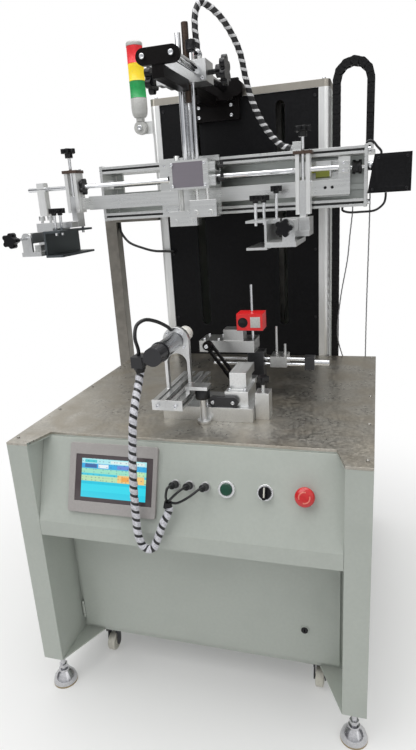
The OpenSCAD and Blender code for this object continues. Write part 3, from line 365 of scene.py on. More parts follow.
class Graph:
    """Adds and links the nodes of one tree."""

    def __init__(self, tree: bpy.types.NodeTree) -> None:
        """Keeps the tree."""
        self.tree = tree

    def feed(self, socket: Socket, value: object) -> None:
        """Links another node's output to a socket, or sets the socket's own value.

        Args:
            socket: The input socket.
            value: A plain value, or another node's output.
        """
        if isinstance(value, bpy.types.NodeSocket):
            self.tree.links.new(value, socket)
        else:
            socket.default_value = value

    def add(self, kind: str, inputs: dict[str | int, object] | None = None, **settings: object) -> Node:
        """Adds a node.

        Args:
            kind: Type name without its ShaderNode prefix.
            inputs: Values or outputs for its input sockets, by name or index.
            **settings: Values for the node's own properties.

        Returns:
            The node.
        """
        node = self.tree.nodes.new("ShaderNode" + kind)
        for key, value in settings.items():
            setattr(node, key, value)
        for key, value in (inputs or {}).items():
            self.feed(node.inputs[key], value)
        return node

    def group(self, tree: Tree, **inputs: object) -> Sockets:
        """Places a node group with values of its own and returns its outputs."""
        return self.add("Group", inputs, node_tree=tree).outputs

    def math(self, operation: str, *values: object, clamp: bool = False) -> Socket:
        """Adds a Math node and returns its output."""
        return self.add("Math", dict(enumerate(values)), operation=operation, use_clamp=clamp).outputs[0]

    def times(self, *factors: object) -> Socket:
        """Multiplies two or more numbers.

        Args:
            *factors: Values or outputs.

        Returns:
            The product.
        """
        product = factors[0]
        for factor in factors[1:]:
            product = self.math("MULTIPLY", product, factor)
        return product

    def vector(self, operation: str, *values: object) -> Socket:
        """Adds a Vector Math node and returns its vector output."""
        return self.add("VectorMath", dict(enumerate(values)), operation=operation).outputs["Vector"]

    def split(self, value: object) -> Sockets:
        """Splits a vector into its three numbers."""
        return self.add("SeparateXYZ", {0: value}).outputs

    def mix_colour(self, share: object, a: object, b: object) -> Socket:
        """Mixes two colours by a share and returns the result."""
        return self.add("Mix", {0: share, 6: a, 7: b}, data_type="RGBA").outputs[2]

    def mix_value(self, share: object, a: object, b: object) -> Socket:
        """Mixes two numbers by a share and returns the result."""
        return self.add("Mix", {0: share, 2: a, 3: b}, data_type="FLOAT").outputs[0]

    def step(self, value: object, low: float, high: float, to: tuple[float, float] = (0, 1)) -> Socket:
        """Maps a stretch of values smoothly to a stretch of results."""
        return self.add("MapRange", {0: value, 1: low, 2: high, 3: to[0], 4: to[1]},
                        interpolation_type="SMOOTHSTEP").outputs[0]

    def noise(self, place: object, scale: object, detail: float = 2.0) -> Socket:
        """Adds a noise texture and returns its value."""
        return self.add("TexNoise", {"Vector": place, "Scale": scale, "Detail": detail}).outputs["Fac"]

    def place(self, kind: str = "Object") -> Socket:
        """Returns the point on the object, or another kind of coordinates."""
        return self.add("TexCoord").outputs[kind]


def new_material(name: str) -> tuple[Material, Graph, Node]:
    """Makes a material with a shader.

    Args:
        name: The material's name.

    Returns:
        The material, its graph and its shader.
    """
    material = bpy.data.materials.new(name)
    material.use_nodes = True
    return material, Graph(material.node_tree), material.node_tree.nodes["Principled BSDF"]


def rgba(colour: Colour, strength: float = 1.0) -> tuple[float, ...]:
    """Returns a colour, made stronger or weaker, as an opaque one."""
    return (*(min(1.0, channel * strength) for channel in colour), 1.0)


Fill = Callable[[Graph, Sockets], Sequence[Socket]]


def effect(inputs: dict[str, str], outputs: Sequence[str]) -> Callable[[Fill], Callable[[], Tree]]:
    """Makes a node group out of a function that adds its nodes.

    Args:
        inputs: Kind of each input socket, by name: Float or Vector.
        outputs: Names of the outputs, which are all numbers.

    Returns:
        A decorator, which turns the function into one that builds the group once and returns it.
    """
    def wrap(fill: Fill) -> Callable[[], Tree]:
        """Turns one function into the one that returns its group.

        Args:
            fill: Adds the nodes and returns the values of the outputs, in their order.

        Returns:
            The function that builds the group once.
        """
        @cache
        def built() -> Tree:
            """Builds the group.

            Returns:
                The group, named as the function is.
            """
            tree = bpy.data.node_groups.new(fill.__name__, "ShaderNodeTree")
            for key, kind in inputs.items():
                tree.interface.new_socket(key, in_out="INPUT", socket_type="NodeSocket" + kind)
            for key in outputs:
                tree.interface.new_socket(key, in_out="OUTPUT", socket_type="NodeSocketFloat")
            inlet, outlet = tree.nodes.new("NodeGroupInput"), tree.nodes.new("NodeGroupOutput")
            for key, value in zip(outputs, fill(Graph(tree), inlet.outputs)):
                tree.links.new(value, outlet.inputs[key])
            return tree
        return built
    return wrap


class Effects:
    """Node groups that more than one finish uses, each built once."""

    @staticmethod
    @effect({"Stretch": "Vector", "Size": "Float"}, ("Height", "Streak"))
    def surface_grain(g: Graph, inlet: Sockets) -> Sequence[Socket]:
        """Fine surface grain, stretched along the way that the metal was worked.

        Args:
            g: The group's graph.
            inlet: The group's input sockets.

        Returns:
            The grain's height and its broad streaks.
        """
        place = g.vector("MULTIPLY", g.place(), inlet["Stretch"])
        scale = g.math("DIVIDE", 1.0, inlet["Size"])
        return g.noise(place, scale, 3), g.step(g.noise(place, g.math("DIVIDE", scale, 7.0), 4), 0.3, 0.7)

    @staticmethod
    @effect({"Reach": "Float", "Amount": "Float"}, ("Mask",))
    def edge_wear_and_highlight(g: Graph, inlet: Sockets) -> Sequence[Socket]:
        """Edges worn by handling, and on the panel fittings a painted highlight along the edges, broken up
        by noise.

        Args:
            g: The group's graph.
            inlet: The group's input sockets.

        Returns:
            The mask.
        """
        rounded = g.add("Bevel", {"Radius": inlet["Reach"]}, samples=4).outputs[0]
        true_normal = g.add("NewGeometry").outputs["Normal"]
        facing = g.add("VectorMath", {0: rounded, 1: true_normal}, operation="DOT_PRODUCT").outputs["Value"]
        patches = g.step(g.noise(g.place(), 120.0, 4), 0.42, 0.62)
        return [g.times(g.step(facing, 0.97, 0.75), patches, inlet["Amount"])]

    @staticmethod
    @effect({"Size": "Float"}, ("Smudge", "Scratch"))
    def handling_marks(g: Graph, inlet: Sockets) -> Sequence[Socket]:
        """Soft handling marks and fine scratches.

        Args:
            g: The group's graph.
            inlet: The group's input sockets.

        Returns:
            The smudges and the scratches.
        """
        place = g.place()
        smudge = g.step(g.noise(place, g.math("DIVIDE", 1.0, inlet["Size"]), 5), 0.45, 0.72)
        lines = g.noise(g.vector("MULTIPLY", place, (1.0, 0.06, 0.4)), 900.0, 1)
        scratched = g.step(g.noise(place, 14.0), 0.5, 0.66)
        return smudge, g.times(g.step(lines, 0.66, 0.7), scratched)

    @staticmethod
    @effect({"Size": "Float", "Amount": "Float"}, ("Cloud", "Speck"))
    def steel_stains(g: Graph, inlet: Sockets) -> Sequence[Socket]:
        """Cloudy stains on bare steel, with small specks in them.

        Args:
            g: The group's graph.
            inlet: The group's input sockets.

        Returns:
            The clouds and the specks.
        """
        scale = g.math("DIVIDE", 1.0, inlet["Size"])
        swirl = g.add("TexNoise", {"Vector": g.place(), "Scale": scale, "Detail": 2.0}).outputs["Color"]
        bent = g.vector("ADD", g.place(), g.vector("MULTIPLY", swirl, (0.10, 0.10, 0.10)))
        cloud = g.step(g.noise(bent, g.times(scale, 1.7), 8), 0.36, 0.68)
        speck = g.step(g.noise(g.place(), g.times(scale, 42.0), 3), 0.52, 0.68)
        return g.times(cloud, inlet["Amount"]), g.times(speck, inlet["Amount"])

    @staticmethod
    @effect({"Amount": "Float"}, ("Mask",))
    def settled_dust(g: Graph, inlet: Sockets) -> Sequence[Socket]:
        """Dust on faces that look up, and splashes near the floor.

        Args:
            g: The group's graph.
            inlet: The group's input sockets.

        Returns:
            The mask.
        """
        place = g.place()
        facing_up = g.split(g.add("NewGeometry").outputs["Normal"])["Z"]
        top = g.times(g.step(facing_up, 0.5, 0.95), g.step(g.noise(place, 22.0, 5), 0.35, 0.75))
        near_floor = g.step(g.split(place)["Z"], 0.19, 0.02)
        splash = g.times(near_floor, g.step(g.noise(place, 90.0, 3), 0.45, 0.7))
        return [g.times(g.math("MAXIMUM", top, splash), inlet["Amount"])]

    @staticmethod
    @effect({"Middle": "Vector", "Half": "Vector"}, ("Mask",))
    def zone(g: Graph, inlet: Sockets) -> Sequence[Socket]:
        """One inside a box and nothing outside it.

        Args:
            g: The group's graph.
            inlet: The group's input sockets.

        Returns:
            The mask.
        """
        away = g.vector("ABSOLUTE", g.vector("SUBTRACT", g.place(), inlet["Middle"]))
        over = g.split(g.vector("SUBTRACT", away, inlet["Half"]))
        worst = g.math("MAXIMUM", g.math("MAXIMUM", over[0], over[1]), over[2])
        return [g.math("LESS_THAN", worst, 0.0)]


class Grain(Enum):
    """Way of the grain, as the stretch of its noise along X, Y and Z."""

    EVEN = (1.0, 1.0, 1.0)
    ALONG_X = (0.02, 1.0, 1.0)
    ALONG_Y = (1.0, 0.02, 1.0)
    ALONG_Z = (1.0, 1.0, 0.02)


@dataclass(frozen=True)
class Look:
    """Colour and surface of a stretch of a piece."""

    colour: Colour
    metallic: float
    roughness: float


@dataclass(frozen=True)
class Zone:
    """A stretch of a piece with a look of its own, as a box between two corners on the drawing."""

    low: Point
    high: Point
    look: Look


DUST_COLOUR = (0.42, 0.40, 0.36)
DUST_ROUGHNESS = 0.75
MARK_SIZE = 0.11
STAIN_SIZE = 0.16
WEAR_AND_HIGHLIGHT_REACH = 0.0013
WORN_AND_HIGHLIT_ROUGHNESS = 0.38
COAT_ROUGHNESS = 0.12


@dataclass(frozen=True)
class Finish:
    """One surface finish and the grain, marks, worn edges, painted edge highlight and dust on it."""

    name: str
    colour: Colour
    metallic: float = 0.0
    roughness: float = 0.4
    grain: Grain = Grain.EVEN
    grain_size: float = 0.0006
    grain_depth: float = 0.00001
    tone: float = 0.08
    unevenness: float = 0.08
    smudge: float = 0.12
    # Colour laid on rounded edges: worn edges on most finishes, a painted edge highlight on the panel
    # fittings.
    wear_and_highlight: float = 0.0
    worn_and_highlight_colour: Colour = (0.5, 0.5, 0.5)
    worn_and_highlight_metallic: float = 1.0
    stain: float = 0.0
    stain_colour: Colour = (0.2, 0.16, 0.11)
    dust: float = 0.0
    coat: float = 0.0
    specular: float = 0.5
    glow: float = 0.0
    zones: tuple[Zone, ...] = ()

    def material(self) -> Material:
        """Returns the finish as a material, which is built at its first use."""
        return bpy.data.materials.get(self.name + "_finish") or self._build()

    def _build(self) -> Material:
        """Builds the shader and the nodes that feed it.

        Returns:
            The material.
        """
        material, g, shader = new_material(self.name + "_finish")
        material.diffuse_color = rgba(self.colour)
        grain = g.group(Effects.surface_grain(), Stretch=self.grain.value, Size=self.grain_size)
        marks = g.group(Effects.handling_marks(), Size=MARK_SIZE)
        streak, smudge, scratch = grain["Streak"], marks["Smudge"], marks["Scratch"]
        colour = g.mix_colour(streak, rgba(self.colour, 1 - self.tone), rgba(self.colour, 1 + self.tone))
        colour = g.mix_colour(g.times(smudge, 0.6), colour, rgba(self.colour, 1 - self.smudge))
        roughness = g.math("MULTIPLY_ADD", streak, self.unevenness, self.roughness - self.unevenness / 2)
        roughness = g.math("ADD", roughness, g.times(smudge, self.smudge * 0.7))
        roughness = g.math("ADD", roughness, g.times(scratch, 0.05), clamp=True)
        metallic: object = self.metallic
        if self.stain:
            blot = g.group(Effects.steel_stains(), Size=STAIN_SIZE, Amount=self.stain)
            colour = g.mix_colour(blot["Cloud"], colour, rgba(self.stain_colour))
            colour = g.mix_colour(g.times(blot["Speck"], 0.32), colour, rgba(self.stain_colour, 0.45))
            roughness = g.math("ADD", roughness, g.times(blot["Cloud"], 0.14), clamp=True)
        # Worn edges, and on the panel fittings a painted highlight, laid on along the rounded edges.
        if self.wear_and_highlight:
            worn_and_highlit_edges = g.group(Effects.edge_wear_and_highlight(), Reach=WEAR_AND_HIGHLIGHT_REACH, Amount=self.wear_and_highlight)["Mask"]
            colour = g.mix_colour(worn_and_highlit_edges, colour, rgba(self.worn_and_highlight_colour))
            roughness = g.mix_value(worn_and_highlit_edges, roughness, WORN_AND_HIGHLIT_ROUGHNESS)
            if self.worn_and_highlight_metallic != self.metallic:
                metallic = g.mix_value(worn_and_highlit_edges, self.metallic, self.worn_and_highlight_metallic)
        for zone in self.zones:
            low, high, look = at(*zone.low), at(*zone.high), zone.look
            inside = g.group(Effects.zone(), Middle=(low + high) / 2, Half=(high - low) / 2)["Mask"]
            tinted = g.mix_colour(streak, rgba(look.colour, 1 - self.tone), rgba(look.colour))
            colour = g.mix_colour(inside, colour, tinted)
            roughness = g.mix_value(inside, roughness, g.math("ADD", look.roughness, g.times(streak, 0.06)))
            metallic = g.mix_value(inside, metallic, look.metallic)
        if self.dust:
            film = g.group(Effects.settled_dust(), Amount=self.dust)["Mask"]
            colour = g.mix_colour(film, colour, rgba(DUST_COLOUR))
            roughness = g.mix_value(film, roughness, DUST_ROUGHNESS)
        g.feed(shader.inputs["Base Color"], colour)
        g.feed(shader.inputs["Roughness"], roughness)
        g.feed(shader.inputs["Metallic"], metallic)
        shader.inputs["Coat Weight"].default_value = self.coat
        shader.inputs["Coat Roughness"].default_value = COAT_ROUGHNESS
        shader.inputs["Specular IOR Level"].default_value = self.specular
        if self.glow:
            g.feed(shader.inputs["Emission Color"], colour)
            shader.inputs["Emission Strength"].default_value = self.glow
        relief = g.math("SUBTRACT", grain["Height"], g.times(scratch, 0.06))
        bump = g.add("Bump", {"Height": relief, "Distance": self.grain_depth, "Strength": 1.0})
        g.feed(shader.inputs["Normal"], bump.outputs[0])
        return material


PAINT = Finish("paint", (0.43, 0.46, 0.42), roughness=0.44, grain_size=0.0011, grain_depth=0.00006,
               tone=0.02, smudge=0.07, wear_and_highlight=0.5, worn_and_highlight_colour=(0.42, 0.42, 0.40), worn_and_highlight_metallic=0.6,
               dust=0.2, coat=0.1)
TABLE = Finish("table_steel", (0.46, 0.44, 0.395), metallic=0.92, roughness=0.31, grain_size=0.0012,
               grain_depth=0.000008, tone=0.16, unevenness=0.14, smudge=0.22, stain=0.7,
               stain_colour=(0.355, 0.315, 0.25), dust=0.05)
ALLOY = Finish("alloy", (0.80, 0.805, 0.79), metallic=1.0, roughness=0.28, grain=Grain.ALONG_X,
               grain_size=0.0005, grain_depth=0.000003, tone=0.04, unevenness=0.05, smudge=0.1)
ALLOY_UP = Finish("alloy_upright", (0.84, 0.845, 0.835), metallic=0.6, roughness=0.34,
                  grain=Grain.ALONG_Z, grain_size=0.0005, grain_depth=0.000003, tone=0.04,
                  unevenness=0.05, smudge=0.1)
ALLOY_DEEP = Finish("alloy_deep", (0.76, 0.765, 0.76), metallic=1.0, roughness=0.3, grain=Grain.ALONG_Y,
                    grain_size=0.0005, grain_depth=0.000003, tone=0.05, unevenness=0.05)
BRIGHT = Finish("bright_steel", (0.76, 0.77, 0.79), metallic=1.0, roughness=0.13, grain_size=0.0004,
                grain_depth=0.000002, tone=0.03, unevenness=0.06, smudge=0.08)
ZINC = Finish("zinc", (0.42, 0.41, 0.385), metallic=1.0, grain_size=0.004, tone=0.14, unevenness=0.14,
              smudge=0.2, dust=0.08)
BLACK_METAL = Finish("black_metal", (0.010, 0.010, 0.011), roughness=0.42, grain_size=0.0009,
                     grain_depth=0.00003, tone=0.15, wear_and_highlight=0.3, worn_and_highlight_colour=(0.06, 0.06, 0.06),
                     worn_and_highlight_metallic=0.5, dust=0.01, specular=0.09)
BLACK_PLASTIC = Finish("black_plastic", (0.005, 0.005, 0.006), roughness=0.16, grain_size=0.0005,
                       grain_depth=0.000008, tone=0.2, smudge=0.08, dust=0.02, specular=0.3)
CHAIN_PLASTIC = Finish("chain_plastic", (0.007, 0.007, 0.0075), roughness=0.42, grain_depth=0.00002,
                       tone=0.2, unevenness=0.1, dust=0.02, specular=0.22)
BLACK_ANODISED = Finish("black_anodised", (0.006, 0.005, 0.005), roughness=0.34, grain=Grain.ALONG_Y,
                        grain_size=0.0004, grain_depth=0.000006, tone=0.2, wear_and_highlight=0.4,
                        worn_and_highlight_colour=(0.22, 0.22, 0.23), specular=0.10)
BLACK_OXIDE = Finish("black_oxide", (0.03, 0.03, 0.032), metallic=0.8, roughness=0.38, grain_size=0.0003,
                     grain_depth=0.000006, tone=0.2, wear_and_highlight=0.6, worn_and_highlight_colour=(0.3, 0.3, 0.3))
DARK_THREAD = Finish("dark_thread", (0.075, 0.052, 0.040), metallic=0.7, roughness=0.42,
                     grain_size=0.0005, tone=0.3, unevenness=0.2, wear_and_highlight=0.4, worn_and_highlight_colour=(0.3, 0.26, 0.22))
CASTER = Finish("caster_wheel", (0.66, 0.64, 0.56), roughness=0.35, grain_size=0.0008, tone=0.05,
                dust=0.5)
GREEN_CAP = Finish("start_green", (0.003, 0.055, 0.030), roughness=0.26, grain_size=0.002, tone=0.2,
                   coat=0.25, specular=0.35)
RED_CAP = Finish("stop_red", (0.56, 0.014, 0.016), roughness=0.22, grain_size=0.0008, tone=0.06, coat=0.3)
PALE_RED = Finish("stop_mark", (0.72, 0.20, 0.15), roughness=0.3, grain_size=0.0008, tone=0.1, coat=0.3)
GREEN_LENS, AMBER_LENS, RED_LENS = (
    Finish("lens_" + name, colour, roughness=0.2, grain_size=0.003, coat=0.5, glow=glow)
    for name, colour, glow in (("green", (0.01, 0.33, 0.08), 0.12), ("amber", (0.93, 0.68, 0.02), 0.22),
                               ("red", (0.80, 0.022, 0.03), 0.16)))
LAMP_GREY = Finish("lamp_grey", (0.52, 0.52, 0.50), roughness=0.36)
CHROME = Look(BRIGHT.colour, 1.0, 0.2)
MOULDED = Look(BLACK_PLASTIC.colour, 0.0, 0.3)


@dataclass(frozen=True)
class PanelSlope:
    """Sloped face of the control panel, in millimetres of the drawing."""

    depth: float = 72.0
    height: float = 195.0
    foot: float = 509.0

    def frame(self, across: float, up: float) -> Matrix:
        """Returns a place on the sloped face.

        Args:
            across: Millimetres from the cabinet's middle.
            up: Millimetres up the slope from its foot.

        Returns:
            The place, with its X to the right, its Y up the slope and its Z out of the face.
        """
        lean = math.atan2(self.depth, self.height)
        upward = Vector((0, math.sin(lean), math.cos(lean)))
        matrix = Matrix((RIGHT, upward, RIGHT.cross(upward))).transposed().to_4x4()
        matrix.translation = at(across, up * math.sin(lean), self.foot + up * math.cos(lean))
        return matrix


SLOPE = PanelSlope()


# Studio

@dataclass(frozen=True)
class Lamp:
    """One square softbox."""

    name: str
    place: Point
    size: float
    watts: float


@dataclass(frozen=True)
class Studio:
    """Camera, lamps, floor and world."""

    camera_place: Point = (0.4622, -1.4948, 1.1937)
    camera_right: Point = (0.9588, 0.2776, -0.0597)
    camera_forward: Point = (-0.2827, 0.9133, -0.2932)
    focal_pixels: float = 559.35
    sensor: float = 36.0
    floor_size: float = 12.0
    aim: Point = (0.0, 0.0, 0.8)
    lamps: tuple[Lamp, ...] = (
        Lamp("key", (-1.2, -1.9, 3.6), 2.4, 44), Lamp("fill", (2.6, -1.6, 1.6), 2.2, 8),
        Lamp("top", (0.2, 0.2, 3.6), 2.2, 42), Lamp("back", (-2.6, 2.0, 1.6), 2.0, 8))

    def add_camera(self) -> None:
        """Adds the camera at the photograph's viewing angle."""
        data = bpy.data.cameras.new("camera")
        data.sensor_width = self.sensor
        data.lens = self.sensor * self.focal_pixels / max(PHOTO_SIZE)
        camera = add_object("camera", data)
        forward = Vector(self.camera_forward).normalized()
        right = Vector(self.camera_right)
        right = (right - forward * right.dot(forward)).normalized()
        matrix = Matrix((right, right.cross(forward), -forward)).transposed().to_4x4()
        matrix.translation = Vector(self.camera_place)
        camera.matrix_world = matrix
        bpy.context.scene.camera = camera

    def add_lamp(self, lamp: Lamp) -> None:
        """Adds a softbox that faces the machine.

        Args:
            lamp: Its name, place, size and power.
        """
        data = bpy.data.lights.new(lamp.name, "AREA")
        data.size = lamp.size
        data.energy = lamp.watts
        place = Vector(lamp.place)
        turn = (Vector(self.aim) - place).to_track_quat("-Z", "Y").to_matrix().to_4x4()
        add_object(lamp.name, data).matrix_world = Matrix.Translation(place) @ turn

    def add_floor(self) -> None:
        """Adds the pale floor, which the camera sees nearly white."""
        clear_selection()
        bpy.ops.mesh.primitive_plane_add(size=self.floor_size)
        floor = claim("studio_floor")
        material, g, shader = new_material("studio_floor")
        shader.inputs["Base Color"].default_value = (0.80, 0.80, 0.79, 1)
        shader.inputs["Roughness"].default_value = 0.7
        rays = g.add("LightPath").outputs
        seen = g.math("MAXIMUM", rays["Is Camera Ray"], g.times(rays["Is Glossy Ray"], 0.75))
        reach = g.add("VectorMath", {0: g.place()}, operation="LENGTH").outputs["Value"]
        share = g.times(seen, g.step(reach, 0.35, 1.5, to=(0.2, 1.0)))
        glow = g.add("Emission", {"Color": (1, 1, 1, 1), "Strength": 1.0})
        both = g.add("MixShader", {0: share, 1: shader.outputs[0], 2: glow.outputs[0]})
        g.feed(material.node_tree.nodes["Material Output"].inputs["Surface"], both.outputs[0])
        floor.data.materials.append(material)

    def add_world(self) -> None:
        """Adds a plain world: white to the camera, graded with dark sides for the light and reflections."""
        world = bpy.data.worlds.new("studio")
        bpy.context.scene.world = world
        world.use_nodes = True
        g = Graph(world.node_tree)
        way = g.split(g.place("Generated"))
        up = way["Z"]
        graded = g.mix_colour(g.step(up, -0.1, 0.7), (0.50, 0.51, 0.53, 1), (1.0, 1.0, 1.0, 1))
        sides = g.times(g.step(g.math("ABSOLUTE", way["X"]), 0.70, 0.86), g.step(up, 0.62, 0.40), 0.75)
        graded = g.mix_colour(sides, graded, (0.03, 0.03, 0.035, 1))
        rear = g.times(g.step(way["Y"], 0.35, 0.75), g.step(up, 0.80, 0.45), 0.7)
        graded = g.mix_colour(rear, graded, (0.26, 0.25, 0.225, 1))
        rays = g.add("LightPath").outputs
        mirrored = g.mix_value(rays["Is Glossy Ray"], 0.74, 0.88)
        background = world.node_tree.nodes["Background"]
        g.feed(background.inputs["Color"], g.mix_colour(rays["Is Camera Ray"], graded, (1, 1, 1, 1)))
        g.feed(background.inputs["Strength"], g.mix_value(rays["Is Camera Ray"], mirrored, 1.0))

    def build(self) -> None:
        """Adds the whole studio."""
        self.add_camera()
        for lamp in self.lamps:
            self.add_lamp(lamp)
        self.add_floor()
        self.add_world()
        bpy.context.scene.view_settings.view_transform = "Standard"


# Cords

def smooth_path(points: Sequence[Vector], spacing: float) -> list[Vector]:
    """Runs one smooth curve through the points.

    Args:
        points: Points that the curve passes through.
        spacing: Rough distance between the points returned.

    Returns:
        Points along the curve.
    """
    ends = [points[0] * 2 - points[1], *points, points[-1] * 2 - points[-2]]
    made = []
    for before, start, end, after in zip(ends, ends[1:], ends[2:], ends[3:]):
        knots = [0.0]
        for a, b in ((before, start), (start, end), (end, after)):
            knots.append(knots[-1] + (b - a).length ** 0.5)
        count = max(1, round((end - start).length / spacing))
        for i in range(count):
            t = knots[1] + (knots[2] - knots[1]) * i / count
            a1 = before.lerp(start, (t - knots[0]) / (knots[1] - knots[0]))
            a2 = start.lerp(end, (t - knots[1]) / (knots[2] - knots[1]))
            a3 = end.lerp(after, (t - knots[2]) / (knots[3] - knots[2]))
            b1 = a1.lerp(a2, (t - knots[0]) / (knots[2] - knots[0]))
            b2 = a2.lerp(a3, (t - knots[1]) / (knots[3] - knots[1]))
            made.append(b1.lerp(b2, (t - knots[1]) / (knots[2] - knots[1])))
    made.append(points[-1].copy())
    return made


def path_length(path: Sequence[Vector]) -> float:
    """Returns the length of a line through the points."""
    return sum((b - a).length for a, b in zip(path, path[1:]))


@dataclass(frozen=True)
class Wrap:
    """Spiral band wound round a hose, and the jacket that shows between its turns."""

    pitch: float
    share: float
    gap_depth: float
    band: Colour
    gap: Colour
    edge: float = 0.06

    def raised(self, turn: float, along: float) -> float:
        """Says how far inside the band a point lies.

        Args:
            turn: The point's place round the hose, from 0 to 1.
            along: Its place along the hose.

        Returns:
            A share from 0 in the gap to 1 on the band.
        """
        phase = (along / self.pitch + turn) % 1.0
        edge = min(phase, self.share - phase) / self.edge
        return max(0.0, min(1.0, edge))

    def material(self, name: str) -> Material:
        """Builds the hose's material on its UV map: U round it, V along it in metres.

        Args:
            name: The material's name.

        Returns:
            The material.
        """
        material, g, shader = new_material(name)
        around, along, _ = g.split(g.place("UV"))
        phase = g.math("FRACT", g.math("ADD", g.math("DIVIDE", along, self.pitch), around))
        on_band = g.times(g.step(phase, 0.0, 0.05), g.step(phase, self.share, self.share - 0.05))
        cloud = g.noise(g.place(), 260.0, 4)
        band = g.mix_colour(g.step(cloud, 0.3, 0.7), rgba(self.band, 0.62), rgba(self.band))
        g.feed(shader.inputs["Base Color"], g.mix_colour(on_band, rgba(self.gap), band))
        g.feed(shader.inputs["Roughness"], g.math("ADD", g.times(cloud, 0.2), 0.26))
        fine = g.noise(g.place(), 2400.0, 2)
        g.feed(shader.inputs["Normal"], g.add("Bump", {"Height": fine, "Distance": 0.00002}).outputs[0])
        return material


BLACK_WRAP = Wrap(0.021, 0.40, 0.0009, (0.76, 0.76, 0.77), (0.008, 0.008, 0.009))
PALE_WRAP = Wrap(0.019, 0.70, 0.0010, (0.70, 0.70, 0.75), (0.010, 0.010, 0.012))
PLAIN = Wrap(1.0, 2.0, 0.0, (0.009, 0.009, 0.010), (0.009, 0.009, 0.010))
GREY_TWIST = Wrap(0.016, 0.5, 0.0004, (0.30, 0.30, 0.31), (0.20, 0.20, 0.21))


@dataclass(frozen=True)
class Cord:
    """One cord: its route, size, wrapping and what it joins."""

    name: str
    node: str
    points: Route
    diameter: float
    wrap: Wrap
    length: float
    far_end: str = "object"
    stiffness: str = "medium"
    body: str = "root"
    other_body: str = ""
    blend_from: Vector | None = None
    blend_to: Vector | None = None
    spacing: float = 0.003
    sides: int = 12

    def build(self, with_pieces: Sequence[Piece] = ()) -> Piece:
        """Args:
            with_pieces: What hangs on the cord, such as its plug. Not used.

        Returns:
            The cord.
        """
        path = smooth_path(route(self.points), self.spacing)
        piece = sweep(self.name, path, self.diameter / 2, self.sides, self.wrap)
        LOG.info("%s measures %.4f m", self.name, path_length(path))
        settle(piece, "" if self.other_body else self.body, self.wrap.material(self.name))
        if self.other_body:
            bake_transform(piece)
        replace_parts(piece, self.node)
        return piece


def sweep(name: str, path: Sequence[Vector], radius: float, sides: int, wrap: Wrap) -> Piece:
    """Sweeps a wrapped round section along a path.

    Args:
        name: The piece's name.
        path: Points of the centreline.
        radius: Outer radius.
        sides: Number of points round the section.
        wrap: Spiral whose gaps are sunk below the outer radius.

    Returns:
        The closed tube, with a UV map that gives the turn and the length in metres.
    """
    mesh = bmesh.new()
    uv = mesh.loops.layers.uv.new("UVMap")
    side = (path[1] - path[0]).orthogonal().normalized()
    along = 0.0
    rings, lengths = [], []
    for i, point in enumerate(path):
        ahead = (path[min(i + 1, len(path) - 1)] - path[max(i - 1, 0)]).normalized()
        side = (side - ahead * side.dot(ahead)).normalized()
        up = ahead.cross(side)
        along += (point - path[i - 1]).length if i else 0.0
        lengths.append(along)
        ring = []
        for k in range(sides):
            angle = k * math.tau / sides
            reach = radius - wrap.gap_depth * (1 - wrap.raised(k / sides, along))
            ring.append(mesh.verts.new(point + (side * math.cos(angle) + up * math.sin(angle)) * reach))
        rings.append(ring)
    for i in range(len(rings) - 1):
        for k in range(sides):
            j = (k + 1) % sides
            face = mesh.faces.new((rings[i][k], rings[i][j], rings[i + 1][j], rings[i + 1][k]))
            face.smooth = True
            corners = ((k, i), (k + 1, i), (k + 1, i + 1), (k, i + 1))
            for loop, (turn, ring_index) in zip(face.loops, corners):
                loop[uv].uv = (turn / sides, lengths[ring_index])
    for ring, away in ((rings[0], path[0] - path[1]), (rings[-1], path[-1] - path[-2])):
        cap = mesh.faces.new(ring)
        cap.normal_update()
        if cap.normal.dot(away) < 0:
            cap.normal_flip()
    bmesh.ops.recalc_face_normals(mesh, faces=mesh.faces)
    data = bpy.data.meshes.new(name)
    mesh.to_mesh(data)
    mesh.free()
    return add_object(name, data)


HEAD_ROUTE = [
    (-0.052, 0.532, 1.5493), (-0.052, 0.532, 1.572), (-0.0545, 0.532, 1.604), (-0.052, 0.535, 1.645),
    (-0.041, 0.545, 1.668), (-0.027, 0.560, 1.664), (-0.002, 0.580, 1.642), (0.021, 0.602, 1.606),
    (0.038, 0.620, 1.562), (0.048, 0.632, 1.504), (0.064, 0.640, 1.443), (0.093, 0.648, 1.382),
    (0.122, 0.650, 1.345), (0.142, 0.650, 1.330), (0.157, 0.650, 1.3243), (0.168, 0.650, 1.324)]
JIG_ROUTE = [
    (-0.088, 0.077, 0.8677), (-0.088, 0.077, 0.857), (-0.088, 0.066, 0.838), (-0.086, 0.040, 0.812),
    (-0.084, 0.010, 0.775), (-0.088, -0.010, 0.665), (-0.090, -0.015, 0.565), (-0.086, -0.020, 0.510),
    (-0.074, -0.020, 0.484), (-0.057, -0.020, 0.484), (-0.044, -0.016, 0.508), (-0.030, -0.010, 0.545),
    (-0.018, -0.002, 0.571), (-0.018, -0.002, 0.5817)]
SPINDLE_ROUTE = [
    (-0.088, 0.078, 0.8923), (-0.088, 0.078, 0.905), (-0.092, 0.076, 0.930), (-0.092, 0.090, 0.954),
    (-0.082, 0.110, 0.962), (-0.068, 0.140, 0.953), (-0.053, 0.172, 0.933), (-0.050, 0.181, 0.925),
    (-0.050, 0.1897, 0.923)]
SIDE_ROUTE = [
    (-0.434, 0.796, 1.1497), (-0.434, 0.796, 1.135), (-0.430, 0.792, 1.118), (-0.403, 0.786, 1.085),
    (-0.350, 0.778, 1.064), (-0.305, 0.768, 1.054), (-0.266, 0.766, 1.052), (-0.246, 0.768, 1.0505),
    (-0.241, 0.776, 1.050), (-0.240, 0.784, 1.050)]
